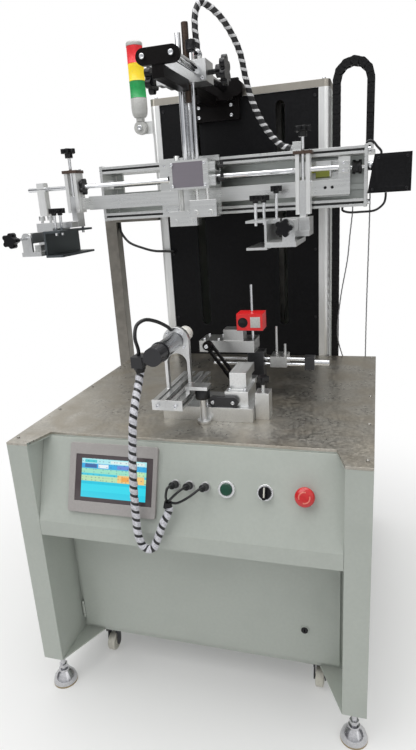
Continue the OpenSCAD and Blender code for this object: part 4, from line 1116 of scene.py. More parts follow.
LEAD_ROUTES = [
    [(-0.020, -0.002, 0.592), (-0.018, -0.012, 0.610), (-0.014, -0.011, 0.628), (-0.013, 0.000, 0.628),
     (-0.013, 0.012, 0.623)],
    [(-0.017, -0.002, 0.592), (-0.006, -0.016, 0.608), (0.012, -0.015, 0.626), (0.019, -0.002, 0.628),
     (0.019, 0.012, 0.623)],
    [(-0.015, -0.002, 0.592), (0.008, -0.016, 0.600), (0.036, -0.017, 0.618), (0.053, -0.005, 0.629),
     (0.055, 0.012, 0.623)]]
BEAM_DROPS = [
    [(0.327, 0.7003, 1.190), (0.3268, 0.708, 1.189), (0.326, 0.716, 1.180), (0.324, 0.722, 1.140),
     (0.318, 0.728, 1.080), (0.312, 0.732, 1.013), (0.293, 0.736, 0.897), (0.284, 0.750, 0.780),
     (0.300, 0.800, 0.690), (0.310, 0.860, 0.640), (0.310, 0.860, 0.6083)],
    [(0.372, 0.670, 1.1927), (0.372, 0.670, 1.180), (0.372, 0.684, 1.130), (0.371, 0.700, 1.040),
     (0.369, 0.735, 0.886), (0.368, 0.790, 0.720), (0.368, 0.840, 0.640), (0.368, 0.840, 0.6083)]]
BEAM_LOOPS = [
    [(0.412, 0.625, 1.1927), (0.412, 0.625, 1.182), (0.408, 0.625, 1.166), (0.388, 0.625, 1.150),
     (0.350, 0.625, 1.147), (0.316, 0.625, 1.148), (0.302, 0.625, 1.154), (0.302, 0.625, 1.1617)],
    [(0.361, 0.640, 1.3143), (0.361, 0.640, 1.319), (0.366, 0.640, 1.324), (0.376, 0.640, 1.322),
     (0.388, 0.640, 1.308), (0.398, 0.640, 1.296), (0.398, 0.640, 1.2883)]]


@dataclass
class Cabling:
    """Every hose, cable and lead, with the glands, boot and plugs on them."""

    sockets: tuple[float, float, float] = (-13, 19, 55)
    socket_up: float = 111.0
    head_exit: tuple[float, float] = (-52, 532)
    jig_exit: tuple[float, float] = (-88, 77)

    def plug(self, name: str, across: float) -> Piece:
        """Models a lead's plug with its grip, lock ring and tapered end, seated on a socket.

        Args:
            name: The plug's name.
            across: The socket's place across the panel, in millimetres.

        Returns:
            The plug.
        """
        shell = add_bar(name, UP * 0.003, UP * 0.026, 0.0078, 24)
        recess(shell, upright, 0.0006, 0.0005, each=True)
        cap = add_bar("plug_cap", UP * 0.024, UP * 0.0285, 0.0062, 24, end_radius=0.0042)
        ring = add_bar("plug_ring", UP * 0.0032, UP * 0.0068, 0.0084, 24)
        plug = join(name, [shell, cap, ring])
        round_edges(plug, 0.0003, 1)
        plug.data.transform(SLOPE.frame(across, self.socket_up))
        settle(plug, "root", BLACK_OXIDE.material())
        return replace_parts(plug, "panel_leads")

    def boot(self) -> Piece:
        """Models the boot where the jig's hose splits into three leads.

        Returns:
            The boot.
        """
        boot = add_bar("hose_boot", at(-20, -2, 579), at(-18, -2, 593), 0.0095, 24, end_radius=0.0080)
        recess(boot, lambda middle, normal: abs(normal.z) < 0.5, 0.0008, 0.0004, each=True)
        round_edges(boot, 0.0005)
        settle(boot, "root", BLACK_PLASTIC.material())
        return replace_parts(boot, "panel_leads")

    def gland(self, name: str, start: Vector, end: Vector, inner: float, body: str,
              finish: Finish) -> Piece:
        """Models a six-sided gland nut with a domed cap round a hose.

        Args:
            name: The piece's name.
            start: Middle of the nut's seat.
            end: Middle of its open end.
            inner: Radius of the hose.
            body: Body that carries it.
            finish: Finish of the nut.

        Returns:
            The gland.
        """
        axis = end - start
        nut = add_bar(name, start, start + axis * 0.55, inner * 1.45, 6)
        dome = add_bar(name + "_dome", start + axis * 0.5, end, inner * 1.28, 24, end_radius=inner * 1.06)
        piece = join(name, [nut, dome])
        round_edges(piece, 0.0005)
        return settle(piece, body, finish.material())

    def build(self) -> None:
        """Builds the cords first, then what is on them."""
        boot = self.boot()
        Cord("head_hose_wrapped", "head_hose", HEAD_ROUTE, 0.017, BLACK_WRAP, 0.575, other_body="beam",
             blend_from=at(*self.head_exit, 1549), blend_to=at(*self.head_exit, 1330), spacing=0.0016,
             sides=24).build()
        Cord("jig_hose_wrapped", "jig_hose", JIG_ROUTE, 0.018, PALE_WRAP, 0.541, other_body="jig_rail",
             blend_from=at(-88, 0, 600), blend_to=at(-88, 0, 862), spacing=0.0016, sides=24,
             far_end="connector").build([boot])
        for side, across, points, length in zip(("left", "middle", "right"), self.sockets, LEAD_ROUTES,
                                                (0.064, 0.080, 0.104)):
            Cord(f"panel_lead_{side}", "panel_leads", points, 0.0055, PLAIN, length, far_end="plug",
                 stiffness="limp", spacing=0.002).build([self.plug(f"lead_plug_{side}", across)])
        Cord("side_lead", "panel_leads", SIDE_ROUTE, 0.008, PLAIN, 0.258, stiffness="stiff").build()
        Cord("spindle_lead", "spindle_cable", SPINDLE_ROUTE, 0.008, PLAIN, 0.187, body="jig_rail").build()
        for name, points, length in zip(("left", "right"), BEAM_DROPS, (0.641, 0.616)):
            Cord(f"beam_cable_{name}", "beam_cable", points, 0.004, GREY_TWIST, length, body="beam",
                 other_body="root", blend_from=at(0, 0, 1150), blend_to=at(0, 0, 620), sides=10).build()
        for name, points, length in zip(("under", "over"), BEAM_LOOPS, (0.149, 0.0643)):
            Cord(f"beam_lead_{name}", "beam_cable", points, 0.006, PLAIN, length, body="beam").build()
        self.gland("hanger_gland_nut", at(*self.head_exit, 1546), at(-52.5, 532, 1562), 0.0085, "root",
                   BRIGHT)
        self.gland("motor_gland_nut", at(*self.jig_exit, 868.2), at(-88, 76.6, 855), 0.009, "jig_rail",
                   BLACK_PLASTIC)


# Fasteners

class Head(Enum):
    """Shape of a screw's head, as its height over its radius."""

    CAP = 1.2
    BUTTON = 0.6


def screw_head(head: Head, radius: float) -> Piece:
    """Models one screw head with a hexagon socket, on the origin.

    Args:
        head: Shape of the head.
        radius: Radius of the head.

    Returns:
        The head, towards +Z.
    """
    height = radius * head.value
    screw = add_bar("screw", UP * -0.0002, UP * height, radius, 24)
    with editing(screw):
        pick_faces(screw, facing(UP))
        bpy.ops.mesh.inset(thickness=radius * 0.42, depth=0)
        bpy.ops.mesh.inset(thickness=radius * 0.01, depth=-height * 0.55)
    for vertex in screw.data.vertices:
        reach = Vector(vertex.co.xy).length
        if radius * 0.3 < reach < radius * 0.75:
            turn = math.atan2(vertex.co.y, vertex.co.x) % (math.pi / 3) - math.pi / 6
            vertex.co.xy = vertex.co.xy / reach * (radius * 0.5 / math.cos(turn))
    rounding, segments = (0.14, 2) if head is Head.CAP else (0.4, 3)
    round_edges(screw, radius * rounding, segments, 60)
    return screw


def fasten(name: str, body: str, seats: Iterable[Seat], radius: float, head: Head = Head.CAP,
           finish: Finish = BRIGHT) -> Piece:
    """Sets a group of equal screws.

    Args:
        name: The group's name.
        body: Body that carries them.
        seats: Pairs of a point on the surface and the direction out of it.
        radius: Radius of a head.
        head: Shape of the heads.
        finish: Finish of the screws.

    Returns:
        The joined screws.
    """
    piece = copies(name, screw_head(head, radius), seats)
    return settle(piece, body, finish.material())


# Sub-assemblies

@dataclass
class Part:
    """A sub-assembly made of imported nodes, and how they are dressed."""

    nodes: dict[str, Piece]

    def dress(self, finish: Finish, rounding: float, *nodes: str) -> None:
        """Gives nodes their finish, and rounds their edges with live modifiers.

        Args:
            finish: The finish.
            rounding: Width of the rounding on the edges.
            *nodes: Names of the nodes.
        """
        for node in nodes:
            piece = self.nodes[node]
            for slot in piece.material_slots:
                slot.material = finish.material()
            piece.modifiers.new("Weld", "WELD").merge_threshold = MERGE_REACH
            planar = piece.modifiers.new("Planar", "DECIMATE")
            planar.decimate_type = "DISSOLVE"
            planar.angle_limit = FLAT_ANGLE
            add_bevel(piece, rounding, 2, SHARP_ANGLE).harden_normals = True
            LOG.info("%s is dressed in %s", node, finish.name)

    def copy_of(self, node: str, name: str, rounding: float = 0.0004) -> Piece:
        """Copies a node's mesh into a piece of its own, with merged points and rounded edges.

        Args:
            node: The node's name.
            name: The new piece's name.
            rounding: Width of the rounding on its edges.

        Returns:
            The merged copy.
        """
        piece = add_object(name, self.nodes[node].data.copy())
        with editing(piece, "SELECT"):
            bpy.ops.mesh.remove_doubles(threshold=MERGE_REACH)
            bpy.ops.mesh.dissolve_limited(angle_limit=FLAT_ANGLE)
        round_edges(piece, rounding, 1)
        return piece


@dataclass
class Cabinet(Part):
    """Cabinet, table, door, feet and what is inside."""

    table_height: float = 704.0
    rear: float = 1020.0
    caster_x: tuple[tuple[float, float], ...] = ((-325, -245), (245, 325))

    def build(self) -> None:
        """Dresses the cabinet and sets its screws."""
        self.dress(PAINT, 0.0012, "cabinet_shell", "front_door")
        self.dress(TABLE, 0.0006, "table_plate")
        fork = Look((0.045, 0.045, 0.05), 0.3, 0.4)
        feet = Finish("foot_chrome", (0.58, 0.58, 0.60), metallic=1.0, roughness=0.18, zones=(
            Zone((-500, -50, -1), (500, 1100, 5), Look((0.40, 0.32, 0.20), 0.9, 0.4)),
            *(Zone((low, 100, -2), (high, 1020, 102), fork) for low, high in self.caster_x)))
        self.dress(feet, 0.0005, "feet_and_casters")
        self.dress(ZINC, 0.0006, "electrical_tray")
        self.dress(CASTER, 0.001, "front_wheels", "rear_wheels")
        self.dress(BLACK_PLASTIC, 0.0004, "door_lock")
        edge = (seats_at(UP, (-388, 388), (30, 215, 400, 585, 762), (self.table_height,))
                + seats_at(UP, (-250, 0, 250), (766,), (self.table_height,)))
        fasten("table_screws", "root", edge, 0.0036, Head.BUTTON, ZINC)
        back = seats_at(BACK, (-380, -127, 127, 380), (self.rear,), (118, 350, 584))
        fasten("rear_panel_screws", "root", back, 0.0040, Head.BUTTON, ZINC)


SCREEN_ROWS = (
    (0.0, (0.02, 0.66, 0.84)), (0.16, (0.03, 0.74, 0.90)), (0.34, (0.01, 0.60, 0.80)),
    (0.42, (0.52, 0.80, 0.46)), (0.56, (0.06, 0.62, 0.80)), (0.62, (0.34, 0.80, 0.58)),
    (0.74, (0.03, 0.42, 0.80)), (0.87, (0.46, 0.86, 0.90)))
SCREEN_CELLS = (
    ((0.56, 0.97), (0.42, 0.62), (0.95, 0.62, 0.20)), ((0.05, 0.24), (0.76, 0.86), (0.04, 0.12, 0.36)),
    ((0.26, 0.42), (0.76, 0.86), (0.86, 0.94, 0.98)), ((0.55, 0.76), (0.76, 0.86), (0.16, 0.26, 0.70)),
    ((0.05, 0.24), (0.89, 0.97), (0.06, 0.62, 0.66)), ((0.80, 0.97), (0.62, 0.74), (0.56, 0.84, 0.46)),
    ((0.45, 0.97), (0.89, 0.97), (0.78, 0.92, 0.90)), ((0.62, 0.74), (0.46, 0.58), (0.92, 0.40, 0.06)))


@dataclass
class ControlPanel(Part):
    """Sloped panel with the operator screen, switches and sockets."""

    switch_up: float = 110.0
    start_across: float = 102.0
    selector_across: float = 185.0
    stop_across: float = 268.0
    screen_across: float = -159.0
    ring_half: float = 19.0
    glass_size: tuple[float, float] = (0.1886, 0.1056)
    lit_from: tuple[float, float] = (0.078, 0.085)
    lit_share: tuple[float, float] = (0.845, 0.835)

    @staticmethod
    def window(g: Graph, across: Socket, up: Socket,
               sides: tuple[float, float], ends: tuple[float, float]) -> Socket:
        """Returns one inside a rectangle of the screen and nothing outside it.

        Args:
            g: The material's graph.
            across: Place across the lit area, from 0 to 1.
            up: Place up the lit area, from 0 to 1.
            sides: Left and right edge.
            ends: Lower and upper edge.

        Returns:
            The mask.
        """
        (left, right), (low, high) = sides, ends
        wide = g.times(g.step(across, left, left + 0.004), g.step(across, right, right - 0.004))
        return g.times(wide, g.times(g.step(up, low, low + 0.008), g.step(up, high, high - 0.008)))

    def glow(self) -> Material:
        """Builds the screen on its UV map: plain coloured rows and cells in a dark border.

        Returns:
            The material.
        """
        material, g, shader = new_material("screen_glow")
        across, up = (g.math("DIVIDE", g.math("SUBTRACT", value, start), share)
                      for value, start, share in zip(g.split(g.place("UV")), self.lit_from, self.lit_share))
        ramp = g.add("ValToRGB", {0: up})
        ramp.color_ramp.interpolation = "CONSTANT"
        while len(ramp.color_ramp.elements) < len(SCREEN_ROWS):
            ramp.color_ramp.elements.new(0.5)
        for element, (start, tint) in zip(ramp.color_ramp.elements, SCREEN_ROWS):
            element.position = start
            element.color = rgba(tint)
        colour = ramp.outputs[0]
        for sides, ends, tint in SCREEN_CELLS:
            colour = g.mix_colour(self.window(g, across, up, sides, ends), colour, rgba(tint))
        lines = g.times(up, 14.5)
        bars = g.math("FRACT", lines)
        strip = g.times(g.step(bars, 0.30, 0.36), g.step(bars, 0.66, 0.60))
        spot = g.add("CombineXYZ", {0: g.times(across, 34.0), 1: g.math("FLOOR", lines)}).outputs[0]
        dashes = g.step(g.noise(spot, 1.0, 0), 0.52, 0.60)
        marks = g.times(strip, dashes, g.step(up, 0.36, 0.42), 0.6)
        colour = g.mix_colour(marks, colour, (0.02, 0.10, 0.22, 1))
        lit = self.window(g, across, up, (0.0, 1.0), (0.0, 1.0))
        border = g.mix_colour(g.noise(g.place(), 60.0, 3), (0.060, 0.045, 0.050, 1),
                              (0.085, 0.066, 0.070, 1))
        g.feed(shader.inputs["Base Color"], g.mix_colour(lit, border, (0.02, 0.03, 0.035, 1)))
        g.feed(shader.inputs["Emission Color"], g.mix_colour(lit, (0, 0, 0, 1), colour))
        shader.inputs["Emission Strength"].default_value = 0.9
        smear = g.noise(g.place(), 26.0, 4)
        g.feed(shader.inputs["Roughness"], g.math("ADD", g.times(smear, 0.16), 0.10))
        return material

    def screen_glass(self) -> None:
        """Models the lit glass, seated in the bezel's recess."""
        wide, tall = self.glass_size
        glass = add_block("screen_glass", Vector((-wide / 2, -tall / 2, 0.0070)),
                          Vector((wide / 2, tall / 2, 0.0080)))
        with editing(glass, "SELECT"):
            bpy.ops.uv.cube_project(cube_size=1.0)
        round_edges(glass, 0.0003, 2)
        layer = glass.data.uv_layers.active
        for loop, uv in zip(glass.data.loops, layer.uv):
            place = glass.data.vertices[loop.vertex_index].co
            uv.vector = (place.x / wide + 0.5, place.y / tall + 0.5)
        glass.data.transform(SLOPE.frame(self.screen_across, self.switch_up))
        settle(glass, "root", self.glow())

    def stop_marks(self) -> None:
        """Models the two raised turn marks on the emergency stop, each spun through a third of a turn."""
        marks = []
        for start_angle in (20.0, 200.0):
            mark = add_block("stop_mark", Vector((0.0098, -0.0002, 0.0248)),
                             Vector((0.0124, 0.0002, 0.0262)))
            turn = Matrix.Rotation(math.radians(start_angle), 4, "Z")
            mark.data.transform(turn)
            with editing(mark):
                pick_faces(mark, facing(turn @ BACK))
                bpy.ops.mesh.spin(steps=16, angle=math.radians(125), center=(0, 0, 0), axis=(0, 0, 1))
                bpy.ops.mesh.select_all(action="SELECT")
                bpy.ops.mesh.remove_doubles(threshold=0.00001)
                bpy.ops.mesh.normals_make_consistent(inside=False)
            marks.append(mark)
        ring = join("stop_marks", marks)
        round_edges(ring, 0.0003, 2, 50)
        ring.data.transform(SLOPE.frame(self.stop_across, self.switch_up))
        settle(ring, "emergency_stop", PALE_RED.material())

    def build(self) -> None:
        """Dresses the panel and its switches, and adds the screen's glass."""
        self.dress(PAINT, 0.0012, "control_panel")
        chromed, sockets = Look((0.90, 0.90, 0.91), 0.8, 0.24), Look((0.62, 0.62, 0.62), 1.0, 0.28)
        rings = [(across - self.ring_half, across + self.ring_half, look) for across, look in (
            (self.start_across, chromed), (self.selector_across, chromed),
            (self.stop_across, Look((0.50, 0.03, 0.03), 0.0, 0.35)))]
        # The fittings' pale edge colour is a painted highlight along their rounded edges.
        fittings = Finish("fittings", (0.365, 0.345, 0.335), roughness=0.42, grain_size=0.0006,
                          grain_depth=0.00002, tone=0.04, wear_and_highlight=0.5, worn_and_highlight_colour=(0.62, 0.60, 0.60),
                          worn_and_highlight_metallic=0.2, zones=tuple(
                              Zone((low, -40, 60), (high, 80, 680), look)
                              for low, high, look in (*rings, (-26, 68, sockets))))
        self.dress(fittings, 0.0010, "panel_fittings")
        self.dress(GREEN_CAP, 0.0008, "start_button")
        self.dress(BLACK_PLASTIC, 0.0010, "selector_switch")
        self.dress(RED_CAP, 0.0010, "emergency_stop")
        self.screen_glass()
        pointer = add_block("selector_mark", Vector((-0.0015, -0.008, 0.0190)),
                            Vector((0.0015, 0.0125, 0.0196)))
        round_edges(pointer, 0.0003, 1)
        pointer.data.transform(SLOPE.frame(self.selector_across, self.switch_up))
        settle(pointer, "selector_switch", CASTER.material())
        self.stop_marks()


@dataclass
class Column(Part):
    """Column, its covers, side post and lift."""

    front: float = 784.3
    rear: float = 1010.3
    edge_x: tuple[float, float] = (-246.0, 214.0)
    heights: tuple[float, ...] = (622.0, 830.0, 1040.0, 1250.0, 1468.0)

    def build(self) -> None:
        """Dresses the column and sets its screws."""
        cap = Zone((-300, 779, 1487.3), (260, 1020, 1512), Look((0.40, 0.375, 0.33), 0.85, 0.34))
        self.dress(replace(ALLOY_UP, name="column_alloy", zones=(cap,)), 0.0008, "column_frame")
        self.dress(BLACK_METAL, 0.0006, "column_front")
        self.dress(PAINT, 0.0006, "column_covers")
        self.dress(ZINC, 0.0008, "lift_frame")
        self.dress(BRIGHT, 0.0004, "lift_screw")
        self.dress(replace(ZINC, name="side_post_zinc", colour=(0.24, 0.225, 0.20)), 0.0010, "side_post")
        for name, out, depth in (("front", FRONT, self.front), ("rear", BACK, self.rear)):
            seats = seats_at(out, self.edge_x, (depth,), self.heights)
            fasten(f"column_{name}_screws", "root", seats, 0.0045, Head.BUTTON, BLACK_OXIDE)
        fasten("column_top_screws", "root", seats_at(UP, (-270, 238), (798, 998), (1507,)), 0.0050)


@dataclass
class TowerLight(Part):
    """Three-colour signal lamp on its folding stem."""

    middle: tuple[float, float] = (-328.0, 798.0)
    lens_foot: float = 1516.0
    lens_height: float = 48.0
    pivot_height: float = 1432.0

    def lens(self, index: int, finish: Finish) -> None:
        """Models one ribbed lens section.

        Args:
            index: Its place in the stack, from below.
            finish: Its finish, which names it too.
        """
        foot = self.lens_foot + index * self.lens_height
        lens = add_bar(finish.name, at(*self.middle, foot + 0.2),
                       at(*self.middle, foot + self.lens_height - 0.4), 0.0246, 60)
        with editing(lens):
            pick_faces(lens, upright)
            bpy.ops.mesh.inset(thickness=0.0012, depth=0)
            pick_faces(lens, lambda middle, normal: upright(middle, normal)
                       and abs(middle.z - (foot + self.lens_height / 2) * MM) < 0.010)
            bpy.ops.mesh.inset(thickness=0.0005, depth=-0.0005, use_individual=True)
        round_edges(lens, 0.0004, 1, 50)
        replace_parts(settle(lens, "tower", finish.material()), "tower_lenses")

    def build(self) -> None:
        """Dresses the lamp's body and builds its lenses."""
        self.dress(LAMP_GREY, 0.0010, "tower_light")
        for index, finish in enumerate((GREEN_LENS, AMBER_LENS, RED_LENS)):
            self.lens(index, finish)
        pivot = at(self.middle[0], 785, self.pivot_height)
        fasten("tower_pivot_screw", "root", [(pivot, FRONT)], 0.0070, Head.BUTTON)


@dataclass
class DragChain(Part):
    """Energy chain beside the column, in three runs."""

    anchor_height: float = 0.600
    keep: float = 0.955

    def run(self, node: str, body: str) -> Piece:
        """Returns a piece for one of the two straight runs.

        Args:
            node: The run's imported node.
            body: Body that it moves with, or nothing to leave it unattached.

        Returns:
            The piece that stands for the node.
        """
        piece = self.copy_of(node, node + "_run")
        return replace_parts(settle(piece, body, CHAIN_PLASTIC.material()), node)

    def build(self) -> None:
        """Dresses the bend, and replaces the two straight runs with merged, rounded copies."""
        self.dress(CHAIN_PLASTIC, 0.0005, "chain_loop")
        fixed, moving = self.run("chain_fixed", "root"), self.run("chain_moving", "")
        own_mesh(fixed)
        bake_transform(moving)


@dataclass
class Beam(Part):
    """Lifting beam with its drive."""

    screw_places: tuple[float, float, float] = (618.0, 650.0, 682.0)
    rail_feet: tuple[float, float] = (1162.0, 1292.0)
    rail_height: float = 20.0
    groove_half: float = 5.3
    # Painted shade: near-black colour laid along the rails' slots, standing for the shade inside them.
    slot_shade_look: Look = Look((0.07, 0.07, 0.07), 0.8, 0.5)
    screw_heights: tuple[float, float] = (1172.0, 1302.0)

    def build(self) -> None:
        """Dresses the beam and sets the screws of its end plates and cover."""
        # Painted shade: dark zones along the slots in each rail's front, top and bottom stand for the shade
        # inside them.
        slot_shades = []
        for foot in self.rail_feet:
            middle, top = foot + self.rail_height / 2, foot + self.rail_height
            spots = [(600.9, 608, middle - self.groove_half, middle + self.groove_half)]
            for depth in (630, 670):
                for low, high in ((top - 7.5, top - 0.9), (foot + 0.9, foot + 7.5)):
                    spots.append((depth - self.groove_half, depth + self.groove_half, low, high))
            slot_shades += [Zone((-400, front, low), (400, back, high), self.slot_shade_look)
                        for front, back, low, high in spots]
        back_plate = Zone((-380, 677, 1182.1), (364, 690.6, 1291.9), Look((0.55, 0.575, 0.55), 1.0, 0.34))
        self.dress(replace(ALLOY, name="beam_alloy", zones=(*slot_shades, back_plate)), 0.0008, "beam_frame")
        self.dress(BLACK_METAL, 0.0010, "drive_cover")
        grease = Finish("screw_steel", BRIGHT.colour, metallic=1.0, roughness=0.2, tone=0.05, zones=(
            Zone((180, 600, 1235), (232, 680, 1290), Look((0.50, 0.50, 0.05), 0.0, 0.3)),
            Zone((325, 600, 1240), (350.5, 680, 1284), Look(BLACK_OXIDE.colour, 0.6, 0.36))))
        self.dress(grease, 0.0004, "traverse_screw")
        for side, out, end in (("left", LEFT, -390), ("right", RIGHT, 365)):
            seats = seats_at(out, (end,), self.screw_places, self.screw_heights)
            fasten(f"beam_{side}_screws", "beam", seats, 0.0062)
        cover = [(at(x, 598, z), FRONT) for x, z in ((378, 1202), (462, 1202), (462, 1278), (392, 1278))]
        fasten("drive_cover_screws", "beam", cover, 0.0036, Head.BUTTON, BLACK_OXIDE)
        face = add_block("drive_cover_face", at(384, 596.9, 1196), at(468, 598.3, 1285))
        with editing(face):
            pick_faces(face, facing(FRONT))
            bpy.ops.mesh.inset(thickness=0.010, depth=0)
            bpy.ops.mesh.inset(thickness=0.0008, depth=-0.0008)
        round_edges(face, 0.0004)
        settle(face, "beam", BLACK_METAL.material())


@dataclass
class Carriage(Part):
    """Screen carriage with its two frame arms."""

    arm_x: tuple[float, float] = (-453.5, 207.0)
    post_half: float = 17.5
    shaft_height: float = 1261.0

    def build(self) -> None:
        """Dresses the carriage and the arms, and sets their screws."""
        carriage = replace(ALLOY, name="carriage_alloy", zones=(
            Zone((228, 600, 1240), (268, 670, 1258), Look((0.30, 0.33, 0.05), 0.0, 0.35)),))
        self.dress(carriage, 0.0008, "carriage_bar")
        shaft = replace(BRIGHT, name="shaft_steel", zones=(
            Zone((-434.5, 541, 1236), (-423.5, 589, 1286), Look(BLACK_PLASTIC.colour, 0.0, 0.28)),))
        self.dress(shaft, 0.0006, "arm_shaft")
        post = replace(ALLOY_UP, name="arm_alloy", zones=tuple(
            Zone((x - 25, 531, 1297.8), (x + 25, 578, 1308), Look((0.085, 0.055, 0.042), 0.4, 0.4))
            for x in self.arm_x))
        channel = replace(ALLOY_DEEP, name="channel_alloy", zones=(
            Zone((-501, 425, 1070), (-445, 625, 1147), Look((0.12, 0.135, 0.145), 0.9, 0.36)),))
        stems = (((-600, 400, 1130), (300, 640, 1186)), ((134, 512, 1130), (148, 528, 1207)),
                 ((-600, 538, 1100), (300, 549, 1339)), ((-600, 350.2, 1120), (300, 640, 1138)))
        knob = replace(BLACK_PLASTIC, name="screw_knob",
                       zones=tuple(Zone(low, high, CHROME) for low, high in stems))
        for side in ("left", "right"):
            self.dress(post, 0.0007, f"{side}_arm")
            self.dress(ALLOY_DEEP, 0.0007, f"{side}_carrier")
            self.dress(channel, 0.0007, f"{side}_channel")
            self.dress(knob, 0.0012, f"{side}_height_screw", f"{side}_slide_screw", f"{side}_frame_screws")
        screws = []
        for x in self.arm_x:
            for out, side in ((LEFT, x - self.post_half), (RIGHT, x + self.post_half)):
                screws.append((at(side, 556, self.shaft_height - 30), out))
            screws += seats_at(UP, (x - 16, x + 16), (568,), (1306,))
        fasten("arm_screws", "carriage", screws, 0.0032)
        bar = seats_at(FRONT, (260, 278), (585,), (1214,))
        fasten("carriage_screws", "carriage", bar, 0.0037, Head.CAP, BLACK_OXIDE)
        fasten("support_screws", "carriage", seats_at(FRONT, (308,), (553,), (1252, 1270)), 0.0034)


@dataclass
class PrintHead(Part):
    """Squeegee head with its rods, holders and fittings."""

    thread_pitch: float = 0.002
    thread_radius: float = 0.009
    thread_depth: float = 0.0009
    thread_axis: tuple[float, float] = (-73.0, 506.0)
    stop_axis: tuple[float, float] = (-57.0, 492.0)

    def threaded_rod(self) -> Piece:
        """Models the rod's thread by screwing one tooth up its axis.

        Returns:
            The rod.
        """
        foot, top = at(*self.thread_axis, 1442), at(*self.thread_axis, 1619)
        turns = int((top.z - foot.z) / self.thread_pitch)
        mesh = bpy.data.meshes.new("thread")
        root = self.thread_radius - self.thread_depth
        tooth = [(root, 0, 0), (self.thread_radius, 0, self.thread_pitch / 2), (root, 0, self.thread_pitch)]
        mesh.from_pydata(tooth, [(0, 1), (1, 2)], [])
        rod = add_object("head_thread", mesh)
        screw = rod.modifiers.new("Screw", "SCREW")
        screw.axis = "Z"
        screw.screw_offset = self.thread_pitch
        screw.iterations = turns
        screw.steps = screw.render_steps = 24
        screw.use_merge_vertices = True
        activate([rod])
        bpy.ops.object.modifier_apply(modifier=screw.name)
        rod.data.transform(Matrix.Translation(foot))
        core = add_bar("thread_core", at(*self.thread_axis, 1440), at(*self.thread_axis, 1620),
                       self.thread_radius - 0.0008)
        round_edges(core, 0.0008)
        rod = join("head_thread", [core, rod])
        with editing(rod, "SELECT"):
            bpy.ops.mesh.normals_make_consistent(inside=False)
        return rod

    def collar(self) -> Piece:
        """Models the knurled collar on the stop rod, with its washer.

        Returns:
            The collar.
        """
        collar = add_bar("collar", at(*self.stop_axis, 1554), at(*self.stop_axis, 1576), 0.012, 36)
        recess(collar, upright, 0.0004, 0.0006, each=True)
        washer = add_bar("washer", at(*self.stop_axis, 1551), at(*self.stop_axis, 1554.2), 0.010, 32)
        piece = join("head_collar", [collar, washer])
        round_edges(piece, 0.0004)
        return piece

    def rods(self) -> Piece:
        """Models the plain guide rods with chamfered tops.

        Returns:
            The joined rods.
        """
        places = ((-89, 494, 1303, 1596, 0.007), (-89, 522, 1303, 1550, 0.006),
                  (*self.stop_axis, 1303, 1579, 0.0045), (*self.thread_axis, 1303, 1441, 0.005))
        made = [add_bar("rod", at(x, y, low), at(x, y, high), radius)
                for x, y, low, high, radius in places]
        piece = join("head_guide_rods", made)
        round_edges(piece, 0.0009)
        return piece

    def build(self) -> None:
        """Dresses the head and builds its rods, thread and collars."""
        block = replace(ALLOY, name="head_alloy", zones=(
            Zone((-122.5, 474, 1236), (-39, 475.6, 1298), Look((0.24, 0.22, 0.25), 0.5, 0.42)),
            Zone((-11, 495, 1240), (12, 525, 1300), MOULDED),
            Zone((-145, 490, 1252), (-131.3, 534, 1272), MOULDED)))
        self.dress(block, 0.0008, "print_head")
        self.dress(ALLOY, 0.0010, "squeegee_holder", "flood_holder")
        for piece, finish in ((self.rods(), BRIGHT), (self.threaded_rod(), DARK_THREAD),
                              (self.collar(), BLACK_OXIDE)):
            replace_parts(settle(piece, "head", finish.material()), "guide_rods")
        fasten("head_screws", "head", seats_at(FRONT, (-122, -34), (475,), (1240, 1293)), 0.0040)
        fasten("mount_plate_screws", "head", seats_at(FRONT, (-185, -150), (595,), (1180, 1300)), 0.0034)


@dataclass
class OverheadArm(Part):
    """Overhead arm with its hanger block and star knobs."""

    bar_x: tuple[float, float] = (-108.0, -41.0)
    bar_height: float = 1507.0

    def build(self) -> None:
        """Dresses the arm and sets its screws."""
        self.dress(BRIGHT, 0.0006, "arm_bars")
        self.dress(BLACK_ANODISED, 0.0010, "arm_brackets")
        self.dress(ALLOY_DEEP, 0.0010, "hanger_block")
        self.dress(BLACK_PLASTIC, 0.0022, "hanger_knobs")
        fasten("link_plate_screws", "root", seats_at(FRONT, self.bar_x, (297,), (self.bar_height,)), 0.0060)
        fasten("bracket_screws", "root", seats_at(FRONT, (-125, -26), (765,), (1437, 1464)), 0.0050)
        fasten("hanger_screws", "root", seats_at(FRONT, (-122, -27), (478,), (1487,)), 0.0040)


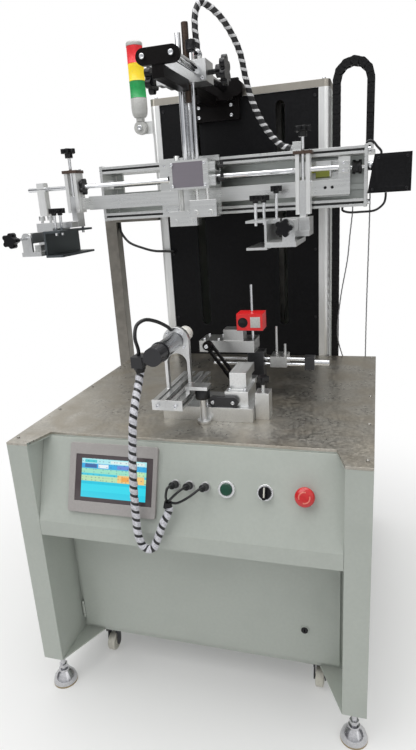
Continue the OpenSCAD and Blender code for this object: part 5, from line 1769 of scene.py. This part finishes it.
@dataclass
class Jig(Part):
    """Spindle jig on the table."""

    spindle: tuple[float, float] = (-44.0, 897.0)
    bolt_circle: float = 25.2

    def build(self) -> None:
        """Dresses the jig and adds its screws and the sensor's window."""
        base = replace(ALLOY_DEEP, name="base_alloy", zones=(
            Zone((-2, 158, 763.5), (36, 197, 788), MOULDED),
            Zone((131.6, 213, 784), (166, 252, 815), MOULDED)))
        self.dress(base, 0.0010, "jig_base")
        self.dress(ALLOY_DEEP, 0.0008, "jig_rail")
        x, z = self.spindle
        motor = Finish("spindle_motor", (0.58, 0.59, 0.61), metallic=1.0, roughness=0.22, tone=0.02,
                       unevenness=0.02, smudge=0.03, zones=(
            Zone((x - 30, 40, z - 30), (x + 30, 96, z + 30), Look((0.015, 0.015, 0.018), 0.0, 0.16)),
            Zone((-104, 50, 860), (-54, 96, 893), Look((0.02, 0.02, 0.022), 0.0, 0.4))))
        self.dress(motor, 0.0010, "spindle_motor")
        chuck = Finish("chuck_white", (0.84, 0.82, 0.76), roughness=0.3, tone=0.04, coat=0.3, zones=(
            Zone((x - 8.4, 238, z - 8.4), (x + 8.4, 265.4, z + 8.4), Look((0.62, 0.40, 0.16), 1.0, 0.25)),
            Zone((x - 30, 200, z - 30), (x + 30, 235.8, z + 30), Look((0.74, 0.75, 0.76), 1.0, 0.2))))
        self.dress(chuck, 0.0008, "spindle")
        self.dress(BLACK_ANODISED, 0.0008, "swing_arm")
        polished = Look(BRIGHT.colour, 1.0, 0.15)
        stand = Finish("stand_black", (0.05, 0.05, 0.053), metallic=0.6, roughness=0.36, wear_and_highlight=0.6, zones=(
            Zone((61, 351, 884.1), (129, 401, 927), Look((0.78, 0.018, 0.02), 0.0, 0.3)),
            Zone((-42, 354, 825.6), (106, 426, 884.1), Look((0.60, 0.60, 0.59), 1.0, 0.32)),
            Zone((252.3, 370, 785), (290, 392, 806), CHROME),
            Zone((-12, 376, 784), (84, 388, 810), polished),
            Zone((126, 376, 784), (228, 388, 810), polished),
            Zone((91, 382, 927.2), (99, 390, 995), CHROME),
            Zone((91, 382, 856.5), (99, 390, 883.4), CHROME),
            Zone((139, 373, 782), (183, 429, 881), Look((0.66, 0.66, 0.65), 1.0, 0.32))))
        self.dress(stand, 0.0010, "jig_stand")
        lens = add_bar("sensor_lens", at(78, 352.5, 904), at(78, 350.6, 904), 0.0125, 32)
        recess(lens, facing(FRONT), 0.0022, 0.0008)
        round_edges(lens, 0.0004)
        settle(lens, "root", BLACK_PLASTIC.material())
        window = add_block("sensor_plate", at(97, 351.2, 891), at(122, 352.4, 918))
        round_edges(window, 0.0008)
        settle(window, "root", LAMP_GREY.material())
        arch = []
        for turn in (45, 135, 215, 325):
            out = Matrix.Rotation(math.radians(turn), 2) @ Vector((self.bolt_circle, 0))
            arch.append((at(x + out.x, 190, z + out.y), FRONT))
        fasten("motor_screws", "jig_rail", arch, 0.0036)
        fasten("rail_screws", "jig_rail", seats_at(FRONT, (-65, -23), (104,), (770,)), 0.0052)
        tops = seats_at(UP, (-78, 20), (200,), (738,)) + seats_at(UP, (72, 108), (215,), (772,))
        fasten("jig_base_screws", "root", tops, 0.0042)
        fasten("link_screws", "root", seats_at(FRONT, (36, 84), (194,), (750,)), 0.0042)
        fasten("swing_pivot_screw", "swing_arm", [(at(57, 296, 780), FRONT)], 0.0050)
        fasten("roller_screw", "swing_arm", [(at(1, 284, 860), FRONT)], 0.0050)
        fasten("stand_screws", "root", seats_at(UP, (-28, 10), (366, 414), (856,)), 0.0036)


def main() -> None:
    """Builds the studio, the cords and every sub-assembly."""
    logging.basicConfig(level=logging.INFO, format="%(message)s")
    for leftover in list(bpy.data.objects):
        bpy.data.objects.remove(leftover)
    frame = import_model()
    Studio().build()
    Cabling().build()
    for part in (Cabinet, ControlPanel, Column, TowerLight, DragChain, Beam, Carriage, PrintHead,
                 OverheadArm, Jig):
        part(frame["nodes"]).build()
    clear_selection()


if __name__ == "__main__":
    main()
